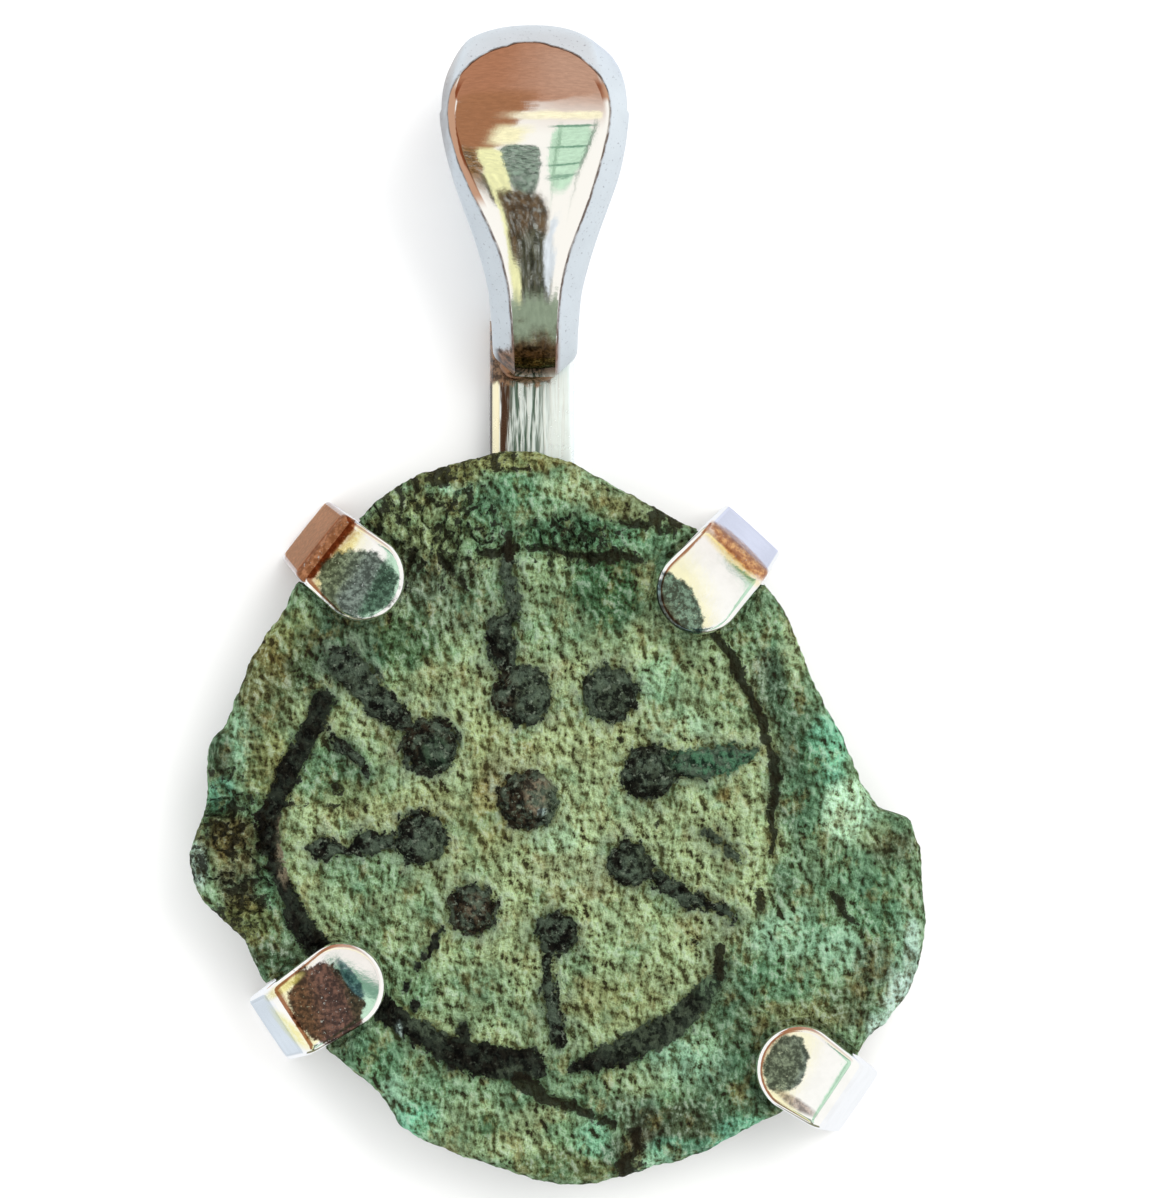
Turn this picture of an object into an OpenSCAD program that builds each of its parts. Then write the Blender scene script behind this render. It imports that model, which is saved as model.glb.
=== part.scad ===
// An old struck bronze coin held by four straps in a silver setting with a teardrop bail.
// It lies on its back: +X to the coin's right, +Y towards the bail, +Z out of the coin's face.

/* [Coin] */
// Radius of the coin towards the bail, which the outline table takes its shares of
coin_r = 7; // [6.6:0.1:10]
// Thickness of the coin between its back and its field
coin_t = 1.35; // [0.9:0.05:2.4]
// Size of the worn round along the coin's edge
coin_edge = 0.3; // [0.1:0.02:0.4]
// Height of the pellets above the field
pellet_h = 0.3; // [0.1:0.02:0.5]
// Height of the rays and of the raised ring above the field
ridge_h = 0.2; // [0.08:0.02:0.4]
// Rise of the flow of metal outside the raised ring
border_h = 0.1; // [0.02:0.01:0.2]
// Rise of the rolled lip along the lower right edge
lip_h = 0.16; // [0.05:0.01:0.3]

/* [Star] */
// Radius of the circle that the pellets stand on
pellet_circle_r = 2.4; // [1.8:0.05:2.9]
// Radius of a middling pellet
pellet_r = 0.5; // [0.3:0.02:0.7]
// Width of a middling ray at its foot
ray_w = 0.42; // [0.2:0.02:0.6]
// Radius of the raised ring at the middle of its band
star_ring_r = 5.2; // [4.4:0.1:5.5]
// Width of the raised ring at its foot
star_ring_w = 0.56; // [0.3:0.02:0.8]

/* [Back ring] */
// Outer radius of the silver ring behind the coin
back_ring_r = 5.6; // [4.6:0.1:5.8]
// Width of the back ring
back_ring_w = 1.4; // [1:0.1:2]
// Thickness of the back ring
back_ring_t = 0.8; // [0.5:0.05:1.4]
// Bevel along the edges of the back ring and the stem
silver_bevel = 0.12; // [0.04:0.02:0.2]

/* [Prongs] */
// Width of a prong at its round tip
prong_w = 1.75; // [1.2:0.05:2.2]
// Width of a prong where it leaves the back
prong_foot_w = 1.5; // [1:0.05:1.9]
// Thickness of the prong strap
prong_t = 0.55; // [0.4:0.05:0.8]
// Thickness left at a prong's tip
prong_tip_t = 0.4; // [0.25:0.05:0.6]
// How far a middling prong reaches over the coin's face from the inside of its wall
prong_reach = 1.27; // [0.9:0.01:2]
// Lean of a prong's outer wall towards the coin, in degrees
prong_lean = 13; // [0:1:20]
// How far a prong's foot stands outside the coin's edge
prong_proud = 0.57; // [0.3:0.01:0.9]
// Bevel along the outside of a prong's two bends
prong_bevel = 0.16; // [0.05:0.01:0.3]

/* [Stem] */
// Width of the flat stem between the coin and the bail
stem_w = 1.72; // [1.2:0.02:2.4]
// Thickness of the stem
stem_t = 0.8; // [0.5:0.05:1.4]
// Bare length of the stem between the coin's edge and the bail
stem_len = 1.55; // [1:0.05:4]
// How far the stem stands to the right of the star
stem_x = 0.03; // [-0.5:0.01:0.5]
// Radius of the solder fillet between the stem and the bail
solder_r = 0.5; // [0.2:0.05:0.8]

/* [Bail] */
// Height of the bail along the pendant
bail_h = 6.95; // [5:0.05:12]
// Widest width of the bail
bail_w = 3.8; // [2.6:0.05:6]
// Depth of the bail from its back leg to the front of its head
bail_d = 4.3; // [4:0.1:8]
// Thickness of the bail's strip round its eye
bail_t = 0.9; // [0.6:0.05:1.3]
// Radius of the eye at its narrow lower end
eye_foot_r = 0.25; // [0.15:0.05:0.5]
// Rise of the domed front face in the middle of its width
bail_dome = 0.08; // [0:0.01:0.2]

/* [Fit] */
// Gap between the coin and the silver that holds it
seat_gap = 0.05; // [0.02:0.01:0.15]

/* [Hidden] */

// The coin's outline, anticlockwise from the right: bearing in degrees, radius as a share of coin_r
outline = [
    [0, 0.981], [3, 0.945], [8, 0.923], [12, 0.91], [16, 0.892], [21, 0.879], [26, 0.88],
    [30, 0.888], [36, 0.904], [43, 0.911], [51, 0.908], [59, 0.907], [62, 0.902], [67, 0.91],
    [74, 0.923], [78, 0.943], [82, 0.968], [87, 0.985], [92, 1], [99, 0.99], [108, 0.981],
    [115, 0.969], [122, 0.936], [130, 0.914], [137, 0.913], [143, 0.888], [152, 0.891],
    [159, 0.889], [166, 0.896], [170, 0.928], [175, 0.927], [180, 0.927], [183, 0.937],
    [186, 0.961], [189, 0.988], [193, 0.991], [197, 0.98], [200, 0.956], [203, 0.932],
    [207, 0.912], [213, 0.918], [222, 0.918], [232, 0.921], [238, 0.926], [243, 0.943],
    [246, 0.975], [249, 1.007], [254, 1.023], [260, 1.04], [266, 1.058], [272, 1.093],
    [279, 1.112], [287, 1.106], [295, 1.12], [303, 1.126], [309, 1.148], [315, 1.176],
    [320, 1.198], [324, 1.178], [329, 1.201], [334, 1.21], [339, 1.198], [343, 1.18],
    [348, 1.145], [353, 1.119], [357, 1.088], [358.4, 1.01]
];

// The star, one row to a ray: pellet bearing, pellet distance as a share of pellet_circle_r,
// pellet size as a share of pellet_r, ray bearing at its start and its end, start and end as
// shares of star_ring_r, width as a share of ray_w, height as a share of ridge_h
star = [
    [94, 0.92, 1.16, 101, 95.7, 0.56, 0.96, 0.8, 1],
    [151.7, 0.97, 1.12, 147, 142.4, 0.57, 0.91, 1.15, 1],
    [199, 0.97, 0.96, 195, 192, 0.53, 0.87, 0.95, 0.9],
    [242, 1.04, 0.92, 238, 240.8, 0.56, 0.93, 0.75, 0.6],
    [281.5, 1.12, 0.76, 276.4, 277, 0.58, 0.95, 0.7, 0.9],
    [329, 0.97, 0.88, 329, 329.7, 0.5, 0.91, 0.9, 0.9],
    [11.8, 1.02, 1.08, 11.7, 11.7, 0.53, 0.9, 1.05, 1],
    [53.4, 1.09, 1, 48.3, 47.2, 0.61, 0.79, 0.5, 0.35]
];
// The middle pellet's size as a share of pellet_r
middle_pellet = 1.04;

// Strokes beside the rays: bearing and share of star_ring_r at each end, width as a share of
// ray_w, height as a share of ridge_h
strokes = [
    [349.6, 0.67, 344.8, 0.845, 0.5, 0.7],
    [161.5, 0.8, 168.2, 0.67, 0.55, 0.7]
];

// The raised ring: bearing, radius as a share of star_ring_r, height as a share of ridge_h
ring_rows = [
    [-12, 0.98, 0.3], [0, 1, 0.8], [20, 1, 0.9], [45, 1, 0.8], [60, 0.97, 0.8], [92, 0.97, 0.7],
    [102, 0.98, 0.35], [130, 0.98, 0.35], [148, 1, 0.9], [180, 1.01, 1], [212, 1, 1],
    [235, 1, 0.9], [258, 1.04, 1], [270, 1.06, 1], [285, 1.03, 1], [305, 1, 0.9], [322, 0.98, 0.5]
];
ring_step = 7;

// The prongs: bearing of the foot, turn of the strap from straight inwards, reach as a
// share of prong_reach
prongs = [[130.3, 11.2, 1], [50.2, -2.4, 0.98], [221.6, -8.1, 1.25], [317, 8.6, 0.91]];

// The bail's front: height as a share of bail_h, then the widths of its outline and of its
// polished face as shares of bail_w
bail_rows = [
    [0, 0.42, 0.22], [0.07, 0.45, 0.23], [0.14, 0.455, 0.24], [0.2, 0.485, 0.265],
    [0.26, 0.535, 0.3], [0.33, 0.595, 0.345], [0.4, 0.695, 0.45], [0.49, 0.805, 0.59],
    [0.56, 0.885, 0.7], [0.65, 0.96, 0.8], [0.76, 1, 0.845], [0.85, 0.965, 0.78],
    [0.91, 0.885, 0.7], [0.95, 0.76, 0.62], [0.98, 0.56, 0.5], [1, 0.26, 0.24]
];

// Sides of a round outline, of a pellet and of a ridge's end
sides = 48;
pellet_sides = 18;
ridge_sides = 10;
// Spokes of the coin to a row of its outline, and rings of points across its face
spoke_splits = 2;
face_rings = 9;
// How deep a ridge is rooted in the coin, as a share of coin_t
root = 0.22;

// Heights: the coin rests on the ring, and the prongs' undersides are level with its field,
// over seats that are sunk into it by the gap
coin_z = max(back_ring_t, stem_t, prong_t) + seat_gap;
coin_top = coin_z + coin_t;
prong_under = coin_top;
seat_z = prong_under - seat_gap;
prong_top = prong_under + prong_t;
above_all = prong_top + 2 * coin_t;

// The smooth curve through four even rows at share s between the middle two
function curve(a, b, c, d, s) =
    b + 0.5 * s * (c - a + s * (2 * a - 5 * b + 4 * c - d + s * (3 * (b - c) + d - a)));
// The value in column col of a table at x, with straight stretches between its rows
function at(rows, x, col) =
    let (last = len(rows) - 1)
    x <= rows[0][0] ? rows[0][col] :
    x >= rows[last][0] ? rows[last][col] :
    let (i = max([for (k = [0:last - 1]) if (rows[k][0] <= x) k]), a = rows[i], b = rows[i + 1])
    a[col] + (b[col] - a[col]) * (x - a[0]) / (b[0] - a[0]);
function smooth(x) = let (s = min(1, max(0, x))) s * s * (3 - 2 * s);
function polar(r, a) = [r * cos(a), r * sin(a)];
function turn(a) = a - 360 * floor(a / 360);

// The spokes of the coin: bearing and radius, through every row of the outline
function outline_row(i) =
    let (n = len(outline), k = (i + n) % n, lap = floor(i / n))
    [outline[k][0] + 360 * lap, outline[k][1]];
spokes = [for (i = [0:len(outline) - 1], k = [0:spoke_splits - 1])
    let (s = k / spoke_splits, a = outline_row(i - 1), b = outline_row(i),
         c = outline_row(i + 1), d = outline_row(i + 2))
    [b[0] + (c[0] - b[0]) * s, coin_r * curve(a[1], b[1], c[1], d[1], s)]];
function edge_at(bearing) = coin_r * at(concat(outline, [outline_row(len(outline))]), turn(bearing), 1);

// The origin is on the resting plane, under the middle of the whole pendant
rim = [for (s = spokes) polar(s[1], s[0])];
bail_foot_y = edge_at(90) + stem_len;
bail_top_y = bail_foot_y + bail_h;
middle_x = (min([for (p = rim) p.x]) + max([for (p = rim) p.x])) / 2;
middle_y = (min([for (p = rim) p.y]) + bail_top_y) / 2;
module centred() translate([-middle_x, -middle_y, 0]) children();

// The border swells outside the ring: the share of its width that it takes to rise, its middling
// height and its swing as shares of border_h, and the counts and the start of its swings
border_rise = 0.5;
swell_mean = 0.65;
swell_swing = 0.35;
broad_swings = 2;
short_swings = 5;
swing_start = 20;
// The rolled lip: bearing of its middle and half its spread in degrees, how steeply its ends
// fade, and its inner start and its slope as shares of the edge's radius
lip_bearing = 333;
lip_half = 34;
lip_fade = 1.4;
lip_start = 0.88;
lip_slope = 0.08;
function off(a, b) = abs(turn(a - b + 180) - 180);

// Height of the coin's face over its field, without the star and the ring
function border_z(p) =
    let (a = atan2(p.y, p.x), r = norm(p), e = edge_at(a),
         rise = smooth((r - star_ring_r) / (border_rise * max(coin_edge, e - star_ring_r))),
         swell = swell_mean + swell_swing * sin(broad_swings * a + swing_start) * sin(short_swings * a),
         ends = smooth(lip_fade - lip_fade * off(a, lip_bearing) / lip_half),
         lip = ends * smooth((r / e - lip_start) / lip_slope))
    border_h * rise * swell + lip_h * lip;
function face_z(p) = coin_top + border_z(p);

// The coin's body: rings of points on the face, round the worn edge and across the back.
// Each ring has its inset from the edge, its share of the radius inside that, and its height
// above the back, or -1 where the face gives the height. The worn round is one flat deep, and
// its middle point lies this share of coin_edge inside both of its faces.
worn = 0.3;
rings = concat(
    [for (k = [1:face_rings - 1]) [coin_edge, k / face_rings, -1]],
    [[coin_edge, 1, -1], [coin_edge * worn, 1, coin_t - coin_edge * worn], [0, 1, coin_t - coin_edge],
     [0, 1, coin_edge], [coin_edge * worn, 1, coin_edge * worn], [coin_edge, 1, 0]]);
module coin_body() {
    n = len(spokes);
    m = len(rings);
    shell = [for (g = rings) for (s = spokes)
        let (p = polar((s[1] - g[0]) * g[1], s[0]),
             lift = g[2] > coin_t / 2 ? border_z(polar(s[1] - coin_edge, s[0])) : 0)
        [p.x, p.y, g[2] < 0 ? face_z(p) : coin_z + g[2] + lift]];
    points = concat(shell, [[0, 0, face_z([0, 0])], [0, 0, coin_z]]);
    walls = [for (k = [0:m - 2], i = [0:n - 1])
        let (j = (i + 1) % n) each [[k * n + i, k * n + j, (k + 1) * n + i],
                                    [k * n + j, (k + 1) * n + j, (k + 1) * n + i]]];
    front = [for (i = [0:n - 1]) [(i + 1) % n, i, m * n]];
    back = [for (i = [0:n - 1]) [(m - 1) * n + i, (m - 1) * n + (i + 1) % n, m * n + 1]];
    polyhedron(points, concat(walls, front, back));
}

// A low dome of foot radius r and height h on the face
module pellet(p, r) {
    ball_r = (r * r + pellet_h * pellet_h) / (2 * pellet_h);
    translate([p.x, p.y, face_z(p) + pellet_h - ball_r]) sphere(r = ball_r, $fn = pellet_sides);
}
// One bevelled block of a ridge, w wide at its foot and h high
module ridge_end(p, w, h) {
    foot_r = w / 2;
    crest_r = w / 4;
    deep = root * coin_t;
    translate([p.x, p.y, face_z(p) - deep])
        cylinder(h = deep + h, r1 = foot_r + deep * (foot_r - crest_r) / h, r2 = crest_r,
                 $fn = ridge_sides);
}
module ridge(p, q, w, h) hull() {
    ridge_end(p, w, h);
    ridge_end(q, w, h);
}
module star_relief() {
    pellet([0, 0], pellet_r * middle_pellet);
    for (row = star) {
        pellet(polar(pellet_circle_r * row[1], row[0]), pellet_r * row[2]);
        ridge(polar(star_ring_r * row[5], row[3]), polar(star_ring_r * row[6], row[4]),
              ray_w * row[7], ridge_h * row[8]);
    }
    for (row = strokes)
        ridge(polar(star_ring_r * row[1], row[0]), polar(star_ring_r * row[3], row[2]),
              ray_w * row[4], ridge_h * row[5]);
}
module ring_relief() {
    first = ring_rows[0][0];
    last = ring_rows[len(ring_rows) - 1][0];
    steps = round((last - first) / ring_step);
    function ring_point(a) = polar(star_ring_r * at(ring_rows, a, 1), a);
    for (k = [0:steps - 1]) {
        a = first + (last - first) * k / steps;
        b = first + (last - first) * (k + 1) / steps;
        hull() {
            ridge_end(ring_point(a), star_ring_w, ridge_h * at(ring_rows, a, 2));
            ridge_end(ring_point(b), star_ring_w, ridge_h * at(ring_rows, b, 2));
        }
    }
}
module coin() color("#6f7350") centred() difference() {
    union() {
        coin_body();
        star_relief();
        ring_relief();
    }
    for (p = prongs) prong_place(p) prong_seat(p);
}

// A prong is drawn from its outer face inwards along +X, and stands at its place by this
module prong_place(p)
    translate(concat(polar(edge_at(p[0]) + prong_proud, p[0]), 0)) rotate(p[0] + 180 + p[1]) children();
function wall_out(z) = max(0, z - prong_bevel) * tan(prong_lean);
function wall_in(z) = wall_out(z) + prong_t / cos(prong_lean);
function prong_length(p) = wall_in(prong_under) + prong_reach * p[2];
// Plan of a prong: tapered sides and a round tip, larger all round by grow
module prong_plan(p, grow) {
    tip = prong_length(p) - prong_w / 2;
    translate([tip, 0]) circle(r = prong_w / 2 + grow, $fn = sides);
    polygon([[-grow, -prong_foot_w / 2 - grow], [tip, -prong_w / 2 - grow],
             [tip, prong_w / 2 + grow], [-grow, prong_foot_w / 2 + grow]]);
}
// Its side view, from the foot up the wall, over the coin and back along the inside
module prong_side(p) {
    length = prong_length(p);
    bend = wall_out(prong_top - prong_bevel);
    polygon([[prong_bevel, 0], [0, prong_bevel], [bend, prong_top - prong_bevel],
             [bend + prong_bevel, prong_top], [length, prong_under + prong_tip_t],
             [length, prong_under], [wall_in(prong_under), prong_under], [wall_in(0), 0]]);
}
// What the prong and its gap take from the coin
module prong_seat(p) {
    far = prong_length(p) + prong_w;
    slack = seat_gap / cos(prong_lean);
    intersection() {
        rotate([90, 0, 0]) linear_extrude(2 * prong_w, center = true)
            polygon([[-far, -coin_z], [wall_in(0) + slack, -coin_z], [wall_in(0) + slack, 0],
                     [wall_in(seat_z) + slack, seat_z], [far, seat_z], [far, above_all],
                     [-far, above_all]]);
        translate([0, 0, -coin_z]) linear_extrude(above_all + coin_z) {
            prong_plan(p, seat_gap);
            translate([-far, -prong_foot_w / 2 - seat_gap])
                square([far, prong_foot_w + 2 * seat_gap]);
        }
    }
}
module prong(p) prong_place(p) {
    // The back strap ends in the middle of the back ring's band, and is a little slimmer
    slim = silver_bevel / 2;
    strap_end = edge_at(p[0]) + prong_proud - back_ring_r + back_ring_w / 2;
    intersection() {
        rotate([90, 0, 0]) linear_extrude(2 * prong_w, center = true) prong_side(p);
        translate([0, 0, -slim]) linear_extrude(above_all) prong_plan(p, 0);
    }
    translate([prong_bevel + slim, slim - prong_foot_w / 2, 0])
        cube([strap_end - prong_bevel - slim, prong_foot_w - 2 * slim, prong_t - slim]);
}
// A flat bar's section, w wide and t high on the resting plane, with all its edges bevelled
module bar_section(w, t) {
    c = silver_bevel;
    polygon([[c - w / 2, 0], [w / 2 - c, 0], [w / 2, c], [w / 2, t - c],
             [w / 2 - c, t], [c - w / 2, t], [-w / 2, t - c], [-w / 2, c]]);
}
module back_ring() rotate_extrude($fn = sides)
    translate([back_ring_r - back_ring_w / 2, 0]) bar_section(back_ring_w, back_ring_t);
// The bail's domed back stands clear of the resting plane by a share of the stem's thickness
bail_clear = 0.04;
bail_lift = bail_dome + bail_clear * stem_t;
foot_r = eye_foot_r + bail_t;
// The stem runs from the middle of the back ring's band into the foot of the bail
module stem() {
    start = back_ring_r - back_ring_w / 2;
    translate([stem_x, bail_foot_y + foot_r, 0]) rotate([90, 0, 0])
        linear_extrude(bail_foot_y + foot_r - start) bar_section(stem_w, stem_t);
    // The solder runs up from the stem on to the round of the bail's foot. It is a little
    // narrower than the stem's flat, and stands a step higher than it.
    inset = 1.2 * silver_bevel;
    step = silver_bevel / 4;
    difference() {
        translate([stem_x - stem_w / 2 + inset, bail_foot_y - solder_r / 2, stem_t / 2])
            cube([stem_w - 2 * inset, solder_r / 2 + foot_r, stem_t / 2 + solder_r + step]);
        translate([stem_x, bail_foot_y - solder_r / 2, stem_t + step + solder_r]) rotate([0, 90, 0])
            cylinder(h = 2 * stem_w, r = solder_r, center = true, $fn = sides);
    }
}

// The bail's loop seen from the side: a large round head and a small round foot, both
// standing on the back leg, joined by straight legs. Points are [height along Y, Z].
loop_head = [bail_top_y - bail_d / 2, bail_lift + bail_d / 2];
loop_foot = [bail_foot_y + foot_r, bail_lift + foot_r];
loop_gap = loop_head - loop_foot;
front_lean = atan2(loop_gap.y, loop_gap.x) + asin((bail_d / 2 - foot_r) / norm(loop_gap));
head_steps = 26;
leg_steps = 9;
foot_steps = 12;
function around(centre, r, a) = centre + r * [cos(a), sin(a)];
function mixed(p, q, s) = p + (q - p) * s;
// One closed line round the loop, this far inside its outer line
function loop_line(inset) =
    let (front = 90 + front_lean, head_r = bail_d / 2 - inset, small_r = foot_r - inset,
         back_leg = [around(loop_foot, small_r, -90), around(loop_head, head_r, -90)],
         front_leg = [around(loop_head, head_r, front), around(loop_foot, small_r, front)])
    concat(
        [for (k = [0:leg_steps - 1]) mixed(back_leg[0], back_leg[1], k / leg_steps)],
        [for (k = [0:head_steps - 1]) around(loop_head, head_r, -90 + (front + 90) * k / head_steps)],
        [for (k = [0:leg_steps - 1]) mixed(front_leg[0], front_leg[1], k / leg_steps)],
        [for (k = [0:foot_steps - 1]) around(loop_foot, small_r, front + (270 - front) * k / foot_steps)]);
// The bail stands this share of its width to the right of the star. The slope beside its
// polished face takes up this share of the strip's thickness.
bail_x = 0.026 * bail_w;
face_edge = 0.35;
// Half the bail's width at a point that lies the share in of the strip inside the outer line
function bail_half(p, in) =
    let (s = (p.x - bail_foot_y) / bail_h, broad = at(bail_rows, s, 1), face = at(bail_rows, s, 2))
    bail_w / 2 * (face + (broad - face) * min(1, in / face_edge));
module bail() {
    depths = [0, face_edge / 2, face_edge, (1 + face_edge) / 2, 1];
    lines = [for (in = depths) loop_line(in * bail_t)];
    domed = loop_line(-bail_dome);
    n = len(domed);
    crown = [for (i = [0:n - 1])
        mixed(lines[0][i], domed[i], smooth(2 * bail_half(lines[0][i], 0) / bail_w))];
    m = 2 * len(depths) + 1;
    points = [for (i = [0:n - 1]) each concat(
        [for (k = [len(depths) - 1:-1:0]) [-bail_half(lines[k][i], depths[k]), each lines[k][i]]],
        [[0, each crown[i]]],
        [for (k = [0:len(depths) - 1]) [bail_half(lines[k][i], depths[k]), each lines[k][i]]])];
    faces = [for (i = [0:n - 1], k = [0:m - 1])
        let (j = (i + 1) % n, l = (k + 1) % m)
        each [[i * m + k, i * m + l, j * m + k], [i * m + l, j * m + l, j * m + k]]];
    translate([bail_x, 0, 0]) polyhedron(points, faces);
}
module setting() color("#d9dcdf") centred() {
    back_ring();
    for (p = prongs) prong(p);
    stem();
    bail();
}

coin();
setting();
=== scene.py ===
import math
import bmesh
import bpy
import numpy as np
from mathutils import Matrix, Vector, noise


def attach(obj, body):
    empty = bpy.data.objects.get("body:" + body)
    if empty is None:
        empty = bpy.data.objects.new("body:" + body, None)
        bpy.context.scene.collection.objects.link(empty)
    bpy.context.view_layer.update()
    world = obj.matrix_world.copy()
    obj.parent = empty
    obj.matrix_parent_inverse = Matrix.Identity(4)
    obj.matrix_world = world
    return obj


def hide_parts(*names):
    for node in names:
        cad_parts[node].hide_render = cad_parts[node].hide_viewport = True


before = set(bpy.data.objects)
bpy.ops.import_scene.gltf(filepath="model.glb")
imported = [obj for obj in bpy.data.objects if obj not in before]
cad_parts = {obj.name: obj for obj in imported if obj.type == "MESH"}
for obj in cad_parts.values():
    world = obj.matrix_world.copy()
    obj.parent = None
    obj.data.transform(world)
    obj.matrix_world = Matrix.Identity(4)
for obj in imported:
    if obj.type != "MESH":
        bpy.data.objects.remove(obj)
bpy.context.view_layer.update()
print("frame loaded")

mm = 0.001
starAt = (-0.534, -3.879)       # the middle of the star in the frame, in mm; pieces are drawn from there


def smooth(share):
    share = np.clip(share, 0, 1)
    return share * share * (3 - 2 * share)


def noiseAt(x, y, size, seed, octaves=3):       # even noise of about -1 to 1, size in mm
    return np.array([noise.fractal(Vector((u / size, v / size, seed)), 0.8, 2.1, octaves)
                     for u, v in zip(x.tolist(), y.tolist())])


def strokeDepth(x, y, points):      # how deep a point lies in a stroke of (x, y, half width) points
    depth = np.full(x.shape, -9.0)
    if len(points) == 1:
        points = points * 2
    for (x0, y0, w0), (x1, y1, w1) in zip(points, points[1:]):
        dx, dy = x1 - x0, y1 - y0
        along = np.clip(((x - x0) * dx + (y - y0) * dy) / max(dx * dx + dy * dy, 1e-9), 0, 1)
        gap = np.hypot(x - x0 - along * dx, y - y0 - along * dy)
        depth = np.maximum(depth, w0 + along * (w1 - w0) - gap)
    return depth


def polar(radius, bearing):     # x and y, from a bearing in degrees
    return radius * np.cos(np.radians(bearing)), radius * np.sin(np.radians(bearing))


def toFrame(points):        # star-centred mm to metres in the frame
    moved = np.array(points, dtype=float)
    moved[:, 0] += starAt[0]
    moved[:, 1] += starAt[1]
    return moved * mm


def newPiece(name, bm, materials):
    bmesh.ops.recalc_face_normals(bm, faces=bm.faces[:])
    mesh = bpy.data.meshes.new(name)
    for material in materials:
        mesh.materials.append(material)
    bm.to_mesh(mesh)
    bm.free()
    piece = bpy.data.objects.new(name, mesh)
    bpy.context.scene.collection.objects.link(piece)
    return piece


def srgb(red, green, blue):     # a colour as read from a screen
    def linear(c):
        c = c / 255
        return c / 12.92 if c <= 0.04045 else ((c + 0.055) / 1.055) ** 2.4
    return (linear(red), linear(green), linear(blue), 1)


def addNode(tree, kind, inputs, **settings):
    node = tree.nodes.new(kind)
    for name, value in settings.items():
        setattr(node, name, value)
    for key, value in inputs.items():
        if isinstance(value, bpy.types.NodeSocket):
            tree.links.new(value, node.inputs[key])
        else:
            node.inputs[key].default_value = value
    return node


def sums(tree, operation, first, second=0.0):
    return addNode(tree, "ShaderNodeMath", {0: first, 1: second}, operation=operation).outputs[0]


def times(tree, first, second):
    return sums(tree, "MULTIPLY", first, second)


def plus(tree, first, second):
    return sums(tree, "ADD", first, second)


def shake(tree, value, amount):     # noise about its middle, times an amount
    return times(tree, sums(tree, "SUBTRACT", value, 0.5), amount)


def vectorMath(tree, operation, inputs):
    return addNode(tree, "ShaderNodeVectorMath", inputs, operation=operation).outputs


def axisOf(tree, place, index):
    return addNode(tree, "ShaderNodeSeparateXYZ", {0: place}).outputs[index]


def ease(tree, value, low, high, toLow=0.0, toHigh=1.0):
    return addNode(tree, "ShaderNodeMapRange", {"Value": value, "From Min": low, "From Max": high,
                                                "To Min": toLow, "To Max": toHigh},
                   interpolation_type="SMOOTHSTEP").outputs["Result"]


def band(tree, value, rise, fall, most=1.0):        # up between two values and down between two more
    return times(tree, ease(tree, value, *rise), ease(tree, value, *fall, 0.0, most))


def mixColour(tree, share, first, second, blend="MIX"):
    return addNode(tree, "ShaderNodeMix", {0: share, 6: first, 7: second}, data_type="RGBA",
                   blend_type=blend).outputs[2]


def noiseMap(tree, place, scale, detail=2.0, roughness=0.6):
    return addNode(tree, "ShaderNodeTexNoise", {"Vector": place, "Scale": scale, "Detail": detail,
                                                "Roughness": roughness}).outputs[0]


def stretched(tree, place, scale, turn=0.0):
    return addNode(tree, "ShaderNodeMapping", {"Vector": place, "Scale": scale,
                                               "Rotation": (0, 0, math.radians(turn))}).outputs[0]


def addBump(tree, shader, distance, height):        # distance in mm
    bump = addNode(tree, "ShaderNodeBump", {"Strength": 1.0, "Distance": distance * mm, "Height": height})
    tree.links.new(bump.outputs[0], shader.inputs["Normal"])


def newMaterial(name):      # its tree, its shader and its place in star-centred mm
    material = bpy.data.materials.new(name)
    material.use_nodes = True
    tree = material.node_tree
    coords = addNode(tree, "ShaderNodeTexCoord", {}).outputs["Object"]
    place = addNode(tree, "ShaderNodeMapping",
                    {"Vector": coords, "Scale": (1 / mm,) * 3,
                     "Location": (-starAt[0], -starAt[1], 0)}).outputs[0]
    return material, tree, tree.nodes["Principled BSDF"], place


view = {
    "middle": (0.356, 0.141),       # what the camera looks straight down on, in mm in the frame
    "height": 122.0,
    "lens": 180.0,
    "floorSize": 1400.0,
    "floorColour": srgb(253, 253, 253),
    "floorRoughness": 0.9,
    "clip": (0.005, 3.0),       # metres
    "keyFrom": (95.0, 70.0, 150.0),
    "keySize": 130.0,
    "keyPower": 0.17,
    "keyColour": (1.0, 0.985, 0.96),
    "skyFill": 1.16,
}

camera = bpy.data.objects.new("camera", bpy.data.cameras.new("camera"))
camera.data.lens = view["lens"]
camera.data.clip_start, camera.data.clip_end = view["clip"]
camera.location = (view["middle"][0] * mm, view["middle"][1] * mm, view["height"] * mm)
bpy.context.scene.collection.objects.link(camera)
bpy.context.scene.camera = camera
bpy.context.scene.view_settings.view_transform = "Standard"

floorMesh = bmesh.new()
bmesh.ops.create_grid(floorMesh, x_segments=1, y_segments=1, size=view["floorSize"] / 2 * mm)
floorData = bpy.data.meshes.new("floor")
floorMesh.to_mesh(floorData)
floorMesh.free()
floor = bpy.data.objects.new("floor", floorData)
bpy.context.scene.collection.objects.link(floor)
floor.visible_glossy = False        # the silver reflects the painted surroundings instead
floorMaterial = bpy.data.materials.new("paleFloor")
floorMaterial.use_nodes = True
floorShader = floorMaterial.node_tree.nodes["Principled BSDF"]
floorShader.inputs["Base Color"].default_value = view["floorColour"]
floorShader.inputs["Roughness"].default_value = view["floorRoughness"]
floorShader.inputs["Specular IOR Level"].default_value = 0.0
floorData.materials.append(floorMaterial)

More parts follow.
